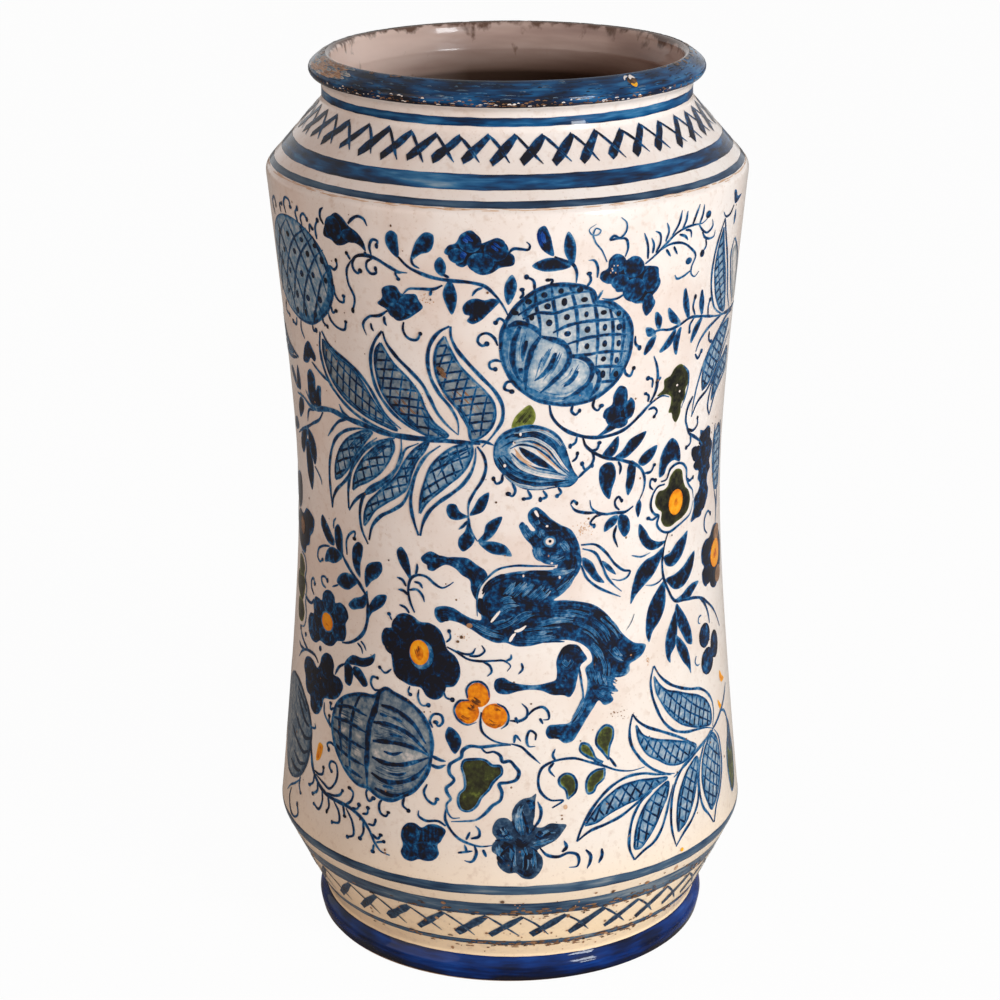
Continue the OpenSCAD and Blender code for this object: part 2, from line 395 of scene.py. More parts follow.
def lining_material():
    """The lining: a thin greyish mauve glaze with throwing rings, stained brown towards the rim, with painted
    light on its left near the lip and painted shade deeper down and to the right.
    """
    material, tree, shader, where = material_of("lining_glaze")
    rings = noise_of(tree, where, 0.012, 3.0, (0.25, 0.25, 1.6))
    colour = ramp_of(tree, rings, LINING_TONES)
    place = node_of(tree, "ShaderNodeSeparateXYZ", Vector=where)
    depth = math_of(tree, "SUBTRACT", LIP_TOP * MM, place.outputs["Z"])
    right = math_of(tree, "ADD", place.outputs["X"], LIGHT_SHADE_SPLIT)
    right = math_of(tree, "DIVIDE", right, LIGHT_SHADE_BLEND, clamp=True)
    left = math_of(tree, "SUBTRACT", 1.0, right)
    # Painted light: the lining is painted paler on the left near the lip, where the lamp lights the inner
    # wall
    painted_light = math_of(tree, "SUBTRACT", left, math_of(tree, "DIVIDE", depth, PAINTED_LIGHT_DEPTH), clamp=True)
    colour = mixed(tree, painted_light, colour, LINING_PAINTED_LIGHT)
    # Painted shade: the lining is painted darker deeper inside the jar and towards the right
    dark = math_of(tree, "DIVIDE", math_of(tree, "SUBTRACT", depth, SHADE_TOP), SHADE_FADE, clamp=True)
    colour = mixed(tree, math_of(tree, "MULTIPLY", dark, right), colour, LINING_SHADE)
    below = math_of(tree, "DIVIDE", depth, STAIN_FADE, clamp=True)
    bar = math_of(tree, "MULTIPLY_ADD", math_of(tree, "POWER", below, 0.35), 0.42)
    bar.node.inputs[2].default_value = 0.23
    stain = math_of(tree, "SUBTRACT", noise_of(tree, where, 0.0035, 4.0, (0.8, 0.8, 0.5)), bar)
    spots = math_of(tree, "MULTIPLY", stain, 7.0, clamp=True)
    tree.links.new(mixed(tree, spots, colour, LINING_STAIN), shader.inputs["Base Color"])
    glazed(tree, shader, where, LINING_ROUGHNESS)
    return material


CLAY_TONES = ((0.3, (0.30, 0.165, 0.085)), (0.55, (0.44, 0.27, 0.16)), (0.75, (0.52, 0.36, 0.24)))
CLAY_ROUGHNESS = 0.85


def clay_material():
    material, tree, shader, where = material_of("fired_clay")
    grain = noise_of(tree, where, 0.003, 5.0)
    tree.links.new(ramp_of(tree, grain, CLAY_TONES), shader.inputs["Base Color"])
    shader.inputs["Roughness"].default_value = CLAY_ROUGHNESS
    bump = node_of(tree, "ShaderNodeBump", Height=grain, Strength=0.5, Distance=0.0005)
    tree.links.new(bump.outputs[0], shader.inputs["Normal"])
    return material


ROUND_THE_JAR = (0.12, 0.12, 1.0)
STROKES = paint_material("brushed_paint")
BANDS = paint_material("banded_paint", ROUND_THE_JAR, BAND_COAT)
TIN_GLAZE = ground_material()
LINING_GLAZE = lining_material()
FIRED_CLAY = clay_material()


# Meshes

def mesh_piece(name, co, faces, material, slot, normals=None, **attributes):
    """A piece of the jar from points in metres, riding on the root body."""
    mesh = bpy.data.meshes.new(name)
    mesh.from_pydata(co.tolist(), [], faces)
    for key, values in attributes.items():
        layer = mesh.attributes.new(key, "FLOAT", "POINT")
        layer.data.foreach_set("value", np.asarray(values, np.float32))
    mesh.materials.append(material)
    mesh.polygons.foreach_set("use_smooth", [True] * len(mesh.polygons))
    mesh.update()
    if normals is not None:
        mesh.normals_split_custom_set_from_vertices(normals.tolist())
    piece = bpy.data.objects.new(name, mesh)
    bpy.context.scene.collection.objects.link(piece)
    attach(piece, "root")
    return piece


def turned_faces(rows, columns):
    """Quads of a grid that closes on itself along its columns."""
    return [(r * columns + c, r * columns + (c + 1) % columns,
             (r + 1) * columns + (c + 1) % columns, (r + 1) * columns + c)
            for r in range(rows - 1) for c in range(columns)]


# How far brush work lies off the glaze, in millimetres: a stroke, and what its level, its turn in a cycle
# of strokes and its far end add, and a band round the jar
STROKE_LIFT = 0.05
LEVEL_LIFT = 0.028
TURN_LIFT = 0.0012
TURNS = 16
END_LIFT = 0.004
BAND_LIFT = 0.06

# How closely brush work is meshed, in millimetres, and how many points a band has round the jar
LINE_STEP = 0.55
EDGE_STEP = 0.7
FILL_GAP = 1.15
FILL_MARGIN = 0.5
BAND_COLUMNS = 720

# Feathered leaves: how far their hatching bows, as a share of its reach, and the inks they are drawn in
HATCH_BOW = 0.12
WASH_INK = 0.34
SLATE_WASH_INK = 0.41
CONTOUR_INK = 0.66
THIN_FROND = {"ink": 0.76, "width": 1.0}


class Sheet:
    """Brush work gathered into one mesh that lies on the glaze."""

    def __init__(self, name, mirror=False, shift=0.0):
        self.name = name
        self.mirror = mirror
        self.shift = shift
        self.parts = []
        self.count = 0
        self.used = 0

    def add(self, angle, run, level, ink, pigment, faces, flip=False):
        """Lays points on the skin, a little higher for each level and each turn in the cycle of strokes."""
        self.used += 1
        lift = STROKE_LIFT + LEVEL_LIFT * level + TURN_LIFT * (self.used % TURNS)
        co, normals = on_skin(angle, run, lift + END_LIFT * np.linspace(0, 1, len(angle)))
        shifted = [tuple(i + self.count for i in (f[::-1] if flip else f)) for f in faces]
        self.parts.append((co, normals, np.broadcast_to(ink, len(co)),
                           np.broadcast_to(float(pigment), len(co)), shifted))
        self.count += len(co)

    def draw(self, plane, level, ink, pigment, faces):
        """Adds points of the drawing, put where this sheet goes."""
        x = self.shift - plane[:, 0] if self.mirror else plane[:, 0] + self.shift
        self.add(x / DRAWING_R, run_at(plane[:, 1]), level, ink, pigment, faces, flip=self.mirror)

    def line(self, text, width=0.9, ink=0.72, pigment=COBALT, level=3, ends=(0.55, 0.3)):
        """A brush line: its width swells in the middle and thins at its ends."""
        path = curve(points(text) if isinstance(text, str) else text, LINE_STEP)
        along = np.gradient(path, axis=0)
        along /= np.maximum(np.hypot(along[:, 0], along[:, 1]), 1e-9)[:, None]
        side = np.stack([-along[:, 1], along[:, 0]], 1)
        t = np.linspace(0, 1, len(path))
        wave = 1 + 0.1 * np.sin(t * len(path) * 0.35 + dice.uniform(0, 6))
        half = width * 0.54 * np.interp(t, (0, 0.2, 0.75, 1), (ends[0], 1, 0.92, ends[1])) * wave
        across = np.array((-1, -0.55, 0.55, 1) if width > 1.4 else (-1, 0, 1))
        shade = np.interp(np.abs(across), (0, 0.55, 1), (0.08, 0.03, -0.18))
        plane = path[:, None, :] + across[None, :, None] * (side * half[:, None])[:, None, :]
        inks = ink + shade[None, :] + np.interp(t, (0, 0.3, 1), (0.05, 0.03, -0.12))[:, None]
        k = len(across)
        faces = [(i * k + j, (i + 1) * k + j, (i + 1) * k + j + 1, i * k + j + 1)
                 for i in range(len(path) - 1) for j in range(k - 1)]
        self.draw(plane.reshape(-1, 2), level, inks.reshape(-1), pigment, faces)

    def lines(self, texts, width=0.9, ink=0.72, **more):
        """Several lines, written with ";" between them."""
        for text in texts.split(";"):
            self.line(text, width, ink, **more)

    def fill(self, text, ink=0.9, pigment=COBALT, level=1, rim=-0.34):
        """A filled shape whose ink changes from its edge inwards.

        A wash gathers at its edge, and thick paint thins there.
        """
        edge = curve(points(text) if isinstance(text, str) else np.asarray(text), EDGE_STEP, closed=True)
        low, high = edge.min(axis=0), edge.max(axis=0)
        columns, rows = (np.arange(low[i], high[i], FILL_GAP) for i in (0, 1))
        grid = np.stack(np.meshgrid(columns, rows), -1).reshape(-1, 2)
        grid = grid[inside(grid, edge)]
        across, up = (grid[:, None, i] - edge[None, :, i] for i in (0, 1))
        apart = np.hypot(across, up).min(axis=1)
        grid = grid[apart > FILL_MARGIN]
        n = len(edge)
        depth = np.append(np.zeros(n), apart[apart > FILL_MARGIN])
        spots = [Vector(p) for p in np.vstack([edge, grid])]
        rim_edges = [(i, (i + 1) % n) for i in range(n)]
        verts, _, faces, origin, _, _ = delaunay_2d_cdt(spots, rim_edges, [], 1, 1e-5)
        deep = np.array([depth[min(from_)] if from_ else 0.0 for from_ in origin])
        inks = ink + np.interp(deep, (0, 0.7, 2.0), (rim, -0.1 * rim, -0.4 * rim))
        self.draw(np.array([v[:] for v in verts]), level, inks, pigment, faces)

    def fills(self, texts, ink=0.88, **more):
        """Several filled shapes, written with ";" between them."""
        for text in texts.split(";"):
            self.fill(text, ink, **more)

    def dots(self, text, size=1.0, ink=0.8, level=4, pigment=COBALT):
        """Round touches of the brush."""
        ring = np.linspace(0, 2 * math.pi, 10, endpoint=False)
        for x, z in points(text):
            r = size * dice.uniform(0.85, 1.15)
            spread = dice.uniform(0.8, 1.2)
            self.fill(np.stack([x + r * spread * np.cos(ring), z + r / spread * np.sin(ring)], 1),
                      ink, pigment, level, 0.0)

    def oval(self, x, z, rx, rz, ink, pigment=COBALT, level=2, rim=0.15):
        """A filled oval from its middle and half its width and height."""
        ring = np.linspace(0, 2 * math.pi, 16, endpoint=False)
        self.fill(np.stack([x + rx * np.cos(ring), z + rz * np.sin(ring)], 1), ink, pigment, level, rim)

    def petals(self, text, ink=0.81):
        """Rounded lobes that lap over each other.

        They are written as "x z half-width half-height", with ";" between them.
        """
        for i, numbers in enumerate(text.split(";")):
            self.oval(*(float(n) for n in numbers.split()), ink, level=1.5 + 0.12 * i, rim=-0.17)

    def contour(self, text, width, ink, level=3):
        """A line of nearly even width round a shape."""
        edge = points(text)
        self.line(np.vstack([edge, edge[:1]]), width, ink, level=level, ends=(0.9, 0.9))

    def edged(self, text, ink, pigment, rim=0.2):
        """A filled shape with a thin blue line round it."""
        self.fill(text, ink, pigment, rim=rim)
        self.contour(text, 0.8, 0.62, 1.5)

    def hairs(self, texts, count, spread, width=0.45, ink=0.5, level=2, pigment=COBALT):
        """Fine strokes side by side along each line, as a drying brush leaves them."""
        for text in texts.split(";"):
            path = curve(points(text), 1.0)
            along = np.gradient(path, axis=0)
            side = np.stack([-along[:, 1], along[:, 0]], 1) / np.hypot(along[:, 0], along[:, 1])[:, None]
            for _ in range(count):
                first = int(len(path) * dice.uniform(0, 0.35))
                last = max(first + 3, int(len(path) * dice.uniform(0.6, 1)))
                kept = path + dice.uniform(-spread, spread) * side
                self.line(kept[first:last], width * dice.uniform(0.7, 1.3), ink + dice.uniform(-0.08, 0.08),
                          pigment, level, (0.4, 0.2))

    def curls(self, texts, width=0.9, ink=0.74, ball=0.74):
        """Tendrils that end in a small ball."""
        for text in texts.split(";"):
            self.line(text, width, ink, ends=(0.5, 0.9))
            end = points(text)[-1]
            self.dots(f"{end[0]} {end[1]}", ball, ink + 0.08)

    def hatch(self, text, angle, gap, width, ink):
        """Parallel, slightly bowed lines across a shape, cut off at its edge."""
        edge = curve(points(text), 1.0, closed=True)
        middle = (edge.min(axis=0) + edge.max(axis=0)) / 2
        reach = np.hypot(*(edge.max(axis=0) - edge.min(axis=0))) / 2
        way = np.array((math.cos(math.radians(angle)), math.sin(math.radians(angle))))
        side = np.array((-way[1], way[0]))
        t = np.linspace(-reach, reach, int(reach * 4))
        for offset in np.arange(-reach, reach, gap):
            drift = offset + HATCH_BOW * reach * (1 - (t / reach) ** 2) + dice.uniform(-0.12, 0.12) * gap
            path = middle + t[:, None] * way + drift[:, None] * side
            held = np.flatnonzero(inside(path, edge))
            for piece in np.split(held, np.flatnonzero(np.diff(held) > 1) + 1):
                if len(piece) > 4:
                    stroke = path[piece[[0, len(piece) // 2, -1]]]
                    self.line(stroke, width, ink, level=2, ends=(0.8, 0.8))

    def leaf(self, base_x, base_z, tip_x, tip_z, width, bend, ink):
        """A pointed leaf from its base to its tip."""
        base, tip = np.array((base_x, base_z)), np.array((tip_x, tip_z))
        way = tip - base
        side = np.array((-way[1], way[0]))
        unit = side / np.hypot(*side)
        t = np.array((0.0, 0.22, 0.5, 0.78, 1.0))
        spine = base + t[:, None] * way + (bend * np.sin(math.pi * t))[:, None] * side
        half = width / 2 * np.array((0.12, 0.75, 1.0, 0.7, 0.05))
        left, right = spine + half[:, None] * unit, spine - half[:, None] * unit
        self.fill(np.vstack([right, left[::-1]]), ink)

    def leaves(self, text, width, ink):
        """Leaves written as "base-x base-z tip-x tip-z", with ";" between them."""
        for numbers in text.split(";"):
            self.leaf(*(float(n) for n in numbers.split()), width, dice.uniform(-0.14, 0.14), ink)

    def frond(self, sides, wash, angles, gap=2.9, pigment=COBALT, ink=0.8, width=1.2):
        """A feathered leaf: two outlines, and inside them a wash with crossed hatching."""
        self.fill(wash, SLATE_WASH_INK if pigment == SLATE else WASH_INK, pigment, 0, 0.2)
        self.hatch(wash, angles[0], gap, 0.8, ink)
        self.hatch(wash, angles[1], gap * 1.15, 0.7, ink - 0.04)
        self.contour(wash, 0.75 * width, CONTOUR_INK)
        self.lines(sides, width, CONTOUR_INK)

    def ring(self, low, high, ink, pigment=COBALT, ragged=0.25, along_skin=False):
        """A band round the whole jar between two heights, with edges that waver like brush work."""
        turn = np.arange(BAND_COLUMNS) / BAND_COLUMNS * 2 * math.pi
        phase = [dice.uniform(0, 6.3) for _ in range(8)]

        def waver(shift):
            return sum(np.sin(turn * n + phase[(i + shift) % 8]) / (1 + i * 0.6)
                       for i, n in enumerate((2, 5, 11, 23, 41, 67))) * 0.45

        start, end = (low, high) if along_skin else (run_at(low), run_at(high))
        start = start + ragged * waver(0)
        end = end + (0 if along_skin else ragged * waver(3))
        rows = max(4, int(np.mean(end - start) / 0.6))
        t = np.linspace(0, 1, rows)[:, None]
        run = start + (end - start) * t
        shade = np.interp(np.abs(2 * t - 1), (0, 0.7, 1), (-0.02, 0.0, 0.1))
        inks = ink(turn[None, :], t) if callable(ink) else ink + shade + 0.1 * waver(5)[None, :]
        co, normals = on_skin(np.broadcast_to(turn, run.shape).reshape(-1), run.reshape(-1), BAND_LIFT)
        faces = [tuple(i + self.count for i in f) for f in turned_faces(rows, BAND_COLUMNS)]
        self.parts.append((co, normals, np.broadcast_to(inks, run.shape).reshape(-1),
                           np.full(len(co), float(pigment)), faces))
        self.count += len(co)

    def done(self, material=STROKES, slot="blue_paint"):
        """Makes one mesh of all that was drawn."""
        co, normals, inks, pigments = (np.concatenate([p[i] for p in self.parts]) for i in range(4))
        faces = [f for p in self.parts for f in p[4]]
        return mesh_piece(self.name, co, faces, material, slot, normals, ink=inks, pigment=pigments)


# The glaze, with every second point of the skin, and every eighth of these on the clay behind it
FRONT_STEP = 2
BEHIND_STEP = 8


def turned_shell(name, front, back, material, slot, node):
    """A closed coat of glaze, from its visible rows of points and the rows that lie on the clay."""
    rows = np.vstack([front, back[::-1]])
    angle = np.broadcast_to(np.arange(SEGMENTS) / SEGMENTS * 2 * math.pi, (len(rows), SEGMENTS))
    reach = np.maximum(rows[:, :1] + np.where(rows[:, :1] > 1, swell(angle, rows[:, 1:]), 0), 0.02)
    height = rows[:, 1:] + lean(angle, rows[:, 1:])
    co = np.stack([reach * np.sin(angle), -reach * np.cos(angle), height], -1).reshape(-1, 3) * MM
    faces = turned_faces(len(rows), SEGMENTS)
    last = (len(rows) - 1) * SEGMENTS
    faces += [(last + c, last + (c + 1) % SEGMENTS, (c + 1) % SEGMENTS, c) for c in range(SEGMENTS)]
    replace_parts(mesh_piece(name, co, faces, material, slot), node)


def every(path, step):
    """Every few points of a path, and its last one."""
    return path[np.unique(np.append(np.arange(0, len(path), step), len(path) - 1))]


def coat(path):
    """The visible rows of a coat and a few rows behind them, on the clay."""
    facing = np.gradient(path, axis=0)[:, ::-1] * (1, -1)
    facing /= np.maximum(np.hypot(facing[:, 0], facing[:, 1]), 1e-9)[:, None]
    return path, every(path - GLAZE_T * facing, BEHIND_STEP)


turned_shell("glazed_body", *coat(every(SKIN, FRONT_STEP)), TIN_GLAZE, "white_glaze", "outer_glaze")
turned_shell("glazed_lining", *coat(LINING), LINING_GLAZE, "lining_glaze", "inner_glaze")
for name in CLAY_NODES:
    frame["nodes"][name].data.materials.clear()
    frame["nodes"][name].data.materials.append(FIRED_CLAY)


# The painted bands, each where its solid is

def band_heights(node):
    low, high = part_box(node)
    return low.z / MM, high.z / MM


def plain_band(node, ink, ragged=0.25, pigment=COBALT, slot="blue_paint", spill=0.0):
    """The paint of a band, which may spill over the edges of its solid by a little."""
    low, high = band_heights(node)
    sheet = Sheet(node + "_paint")
    sheet.ring(low - spill, high + spill, ink, pigment, ragged)
    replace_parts(sheet.done(BANDS, slot), node)


def foot_ink(angle, t):
    """The foot's blue runs dark towards its lower edge."""
    streak = 0.06 * np.sin(angle * 7 + 4 * t) + 0.05 * np.sin(angle * 31 + 2)
    return np.interp(t, (0, 0.12, 0.3, 0.9, 1), (1.0, 0.9, 0.55, 0.5, 0.7)) + streak


plain_band("neck_band", 0.6)
plain_band("shoulder_band", 0.7)
plain_band("shoulder_edge_band", 0.7, 0.2, SLATE)
plain_band("heel_line_upper", 0.58, 0.3, SLATE, spill=0.35)
plain_band("heel_line_lower", 0.58, 0.3, SLATE, spill=0.6)
plain_band("heel_line_base", 0.56, 0.25, SLATE, spill=0.2)
plain_band("foot_band", foot_ink, 0.1, DEEP_BLUE, "foot_paint")


def rim_ink_and_shade(angle, t):
    """The rim's blue is darkest along its lower edge, where thick paint and painted shade under the lip meet,
    and is painted darker on the left and lighter on the right, as the light falls.
    """
    # Painted shade and light: the last term darkens the left of the rim and lightens its right
    streak = 0.07 * np.sin(angle * 9 + 3 * t) + 0.05 * np.sin(angle * 23 + 1.7) - 0.1 * np.sin(angle)
    # Darkest along the lower edge: thick paint, with painted shade where the lip turns under
    return np.interp(t, (0, 0.12, 0.5, 0.85, 1), (0.96, 0.74, 0.66, 0.74, 0.7)) + streak


rim = Sheet("rim_band_paint")
rim.ring(run_at(LIP_LOW), RUN[-1], rim_ink_and_shade, COBALT, along_skin=True)
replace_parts(rim.done(BANDS), "rim_band")

# Marks on the rim: flecks along its lower edge, bare clay on the crown at the back, a rubbed stretch on the
# left, streaks that the brush left, and one chip on the right, drawn as a near-black spot, bare orange clay
# and pale strokes of painted highlight on its upper edge
wear_and_highlight = Sheet("rim_wear_and_highlight")


def fleck(x, z, length, width, ink, pigment, level=2):
    """A short level stroke on the lip."""
    path = np.array([(x, z), (x + length / 2, z + 0.1), (x + length, z)])
    wear_and_highlight.line(path, width, ink, pigment, level, (0.4, 0.3))


for _ in range(260):
    fleck(dice.gauss(-10, 60), LIP_LOW + 0.4 + 1.5 * dice.random() ** 2, dice.uniform(0.4, 1.8),
          dice.uniform(0.1, 0.28), dice.uniform(0.4, 1.0), dice.choice((CLAY,) * 4 + (CREAM,)))
for _ in range(200):
    fleck(HALF_TURN + dice.gauss(0, 60), LIP_TOP - 0.9 * dice.random() ** 2, dice.uniform(2, 6),
          dice.uniform(0.3, 0.8), dice.uniform(0.5, 1.0), CLAY)
for _ in range(240):
    fleck(dice.gauss(-90, 8), LIP_TOP - 2.8 * dice.random() ** 1.4, dice.uniform(3, 8),
          dice.uniform(0.25, 0.6), dice.uniform(0.2, 0.55), dice.choice((CLAY, CLAY, SLATE)), 3)
for _ in range(340):
    fleck(dice.uniform(-110, 110), dice.uniform(LIP_LOW + 1.2, LIP_TOP - 0.2), dice.uniform(1.2, 5),
          dice.uniform(0.08, 0.24), dice.choice((1.0, 0.95, 0.72, 0.6)), dice.choice((COBALT, SLATE)), 1)
wear_and_highlight.fill("47 298.6, 48.2 299.3, 50 299.3, 51.4 298.6, 50.4 297.8, 48.4 297.7", 0.95, CLAY, 4, 0.0)
# Painted highlight: pale strokes along the chip's upper edges
wear_and_highlight.line("48.6 299, 49.8 299.4, 51.2 299", 0.6, 0.1, CREAM, 5)
wear_and_highlight.line("48 298, 49.4 297.6, 50.8 298", 0.6, 0.2, ORANGE, 5)
wear_and_highlight.line("46 298.9, 47 299.4, 48.4 299.5", 0.4, 0.1, CREAM, 5)
wear_and_highlight.done()


# The friezes of crossed strokes: the lower and upper height, the count, the width of thick and thin
# strokes, ink and pigment
SHOULDER_FRIEZE = (277.8, 284.7, 45, 2.6, 0.95, 0.88, COBALT)
HEEL_FRIEZE = (19.2, 28.2, 35, 2.6, 0.8, 0.8, SLATE)


def frieze(name, low, high, count, thick, thin, ink, pigment):
    """A zigzag: thick strokes that rise, and thin ones that fall from their heads across the next."""
    sheet = Sheet(name)
    pitch = 2 * HALF_TURN / count
    for i in range(count):
        x = -HALF_TURN + pitch * (i + dice.uniform(-0.08, 0.08))
        foot, head = low + dice.uniform(-0.4, 0.4), high + dice.uniform(-0.4, 0.4)
        middle = (foot + head) / 2
        sheet.line(np.array([(x, foot), (x + pitch * 0.4, middle - 0.3), (x + pitch * 0.85, head)]),
                   thick * dice.uniform(0.85, 1.15), ink, pigment, ends=(0.78, 0.62))
        sheet.line(np.array([(x + pitch * 0.84, head), (x + pitch * 1.22, middle + 0.4),
                             (x + pitch * dice.uniform(1.55, 1.7), foot - 0.2)]), thin, ink - 0.06, pigment)
    sheet.done()


frieze("shoulder_frieze", *SHOULDER_FRIEZE)
frieze("heel_frieze", *HEEL_FRIEZE)

# Brown pits that the firing left, most of them low on the front's right
heel_pits = Sheet("heel_pits")
for _ in range(150):
    place = dice.gauss(28, 42) if dice.random() < 0.6 else dice.uniform(-HALF_TURN, HALF_TURN)
    heel_pits.dots(f"{place} {dice.uniform(10.5, 37)}", 0.25 + 0.55 * dice.random() ** 3,
                   dice.uniform(0.1, 0.8), 6, CLAY)
for low, count in ((band_heights("heel_line_lower")[0], 150), (band_heights("heel_line_base")[0], 170)):
    for _ in range(count):
        x = dice.gauss(22, 34)
        z = low + dice.gauss(0.4, 1.1)
        path = np.array([(x, z), (x + 0.6, z + 0.1), (x + dice.uniform(0.9, 2.4), z)])
        heel_pits.line(path, dice.uniform(0.2, 0.7), dice.uniform(0.4, 1.0), CLAY, 6)
heel_pits.done()

# The thin red-brown line under the shoulder's edge
EDGE_LINE_Z = 265.9
edge_line = Sheet("shoulder_edge_line")
for _ in range(230):
    x = dice.uniform(-HALF_TURN, HALF_TURN)
    z = EDGE_LINE_Z + dice.gauss(0, 0.16)
    edge_line.line(np.array([(x, z), (x + 1.5, z + dice.gauss(0, 0.08)), (x + dice.uniform(2, 7), z)]),
                   dice.uniform(0.1, 0.26), dice.choice((0.0, 0.0, 0.0, 0.1)), CLAY, 1)
edge_line.done(BANDS)


# The painting on the wall, motif by motif, in drawing coordinates

def left_pomegranate(s):
    """The round fruit high on the left: lozenges with a seed in each, and curls all round it."""
    s.oval(-81, 238, 21.5, 16.8, 0.4, level=0, rim=0.3)
    s.lines("-90 229, -86 239, -79.5 247.5, -70.5 253; -84 227, -79.5 238, -75 244, -67 251;"
            "-78 222.5, -75 232, -71.5 238, -66 245, -62.5 247.5; -71 222.5, -68 230, -64 238, -60.5 242;"
            "-98 235, -92 246, -84 253; -98 226, -96 233, -91 241", 1.0, 0.76)
    s.lines("-83 253, -77 246, -73 240.5, -69 232, -66.5 226; -74 253, -69 247, -65.5 241, -62.5 233;"
            "-93 250, -87 243, -81 236, -77 229, -74 222; -99 243, -92 236, -86 229, -83 222;"
            "-67 250.5, -63 244, -60.5 238", 1.0, 0.74)
    s.dots("-83.5 248.3, -73.8 248.5, -66.5 248, -79.5 243.5, -71 244.5, -63.5 244, -88.5 242, -85 236,"
           "-76 237, -69 238, -62.5 237.5, -91.5 247, -92 237, -88.5 228.5, -81 229, -73.5 229.5,"
           "-66.5 230.5, -76 224, -82 223.5, -70 225", 1.0, 0.9)
    s.line("-61 243, -60.6 238, -62 231.5, -67 226.2, -72.6 223, -80 222.4, -88 223.6", 2.6, 0.5, level=1)
    s.line("-60 243, -59.4 238, -61 230.5, -66 225, -72 221.6, -80 221, -88 222.4", 1.2, 0.7)
    s.curls("-83 255, -84 258.5, -82 260.5, -79.5 260, -79 258; -87.5 254.5, -88 257, -86 257.6;"
            "-95 252, -97 256, -93.5 258, -92.5 255.5; -75 254, -76 257, -74.5 258.5; -72.5 253.5,"
            "-73 256, -71 257.5, -69.3 256; -68.5 252, -68 254.6, -66.8 253.5; -65 250.5, -65.2 254.5,"
            "-63.8 256.8; -60 243, -58 242, -56.6 243.5, -56.8 245.2; -58.9 237, -58.7 234, -57 232,"
            "-55 232, -54.8 234; -61 229.5, -60.5 227.5, -58.8 228.4; -63 227.5, -62 225, -59 223,"
            "-55.5 223, -54.8 225.6; -66 225, -66 223.5, -63.8 222.2; -72.5 221, -72 219, -70.5 219.5;"
            "-84 220.6, -85 218, -88 218.3; -94 224, -95.5 220.5, -91.5 219.5")
    s.line("-80.5 220.7, -81 217.5, -79 214.5", 0.8, 0.6)


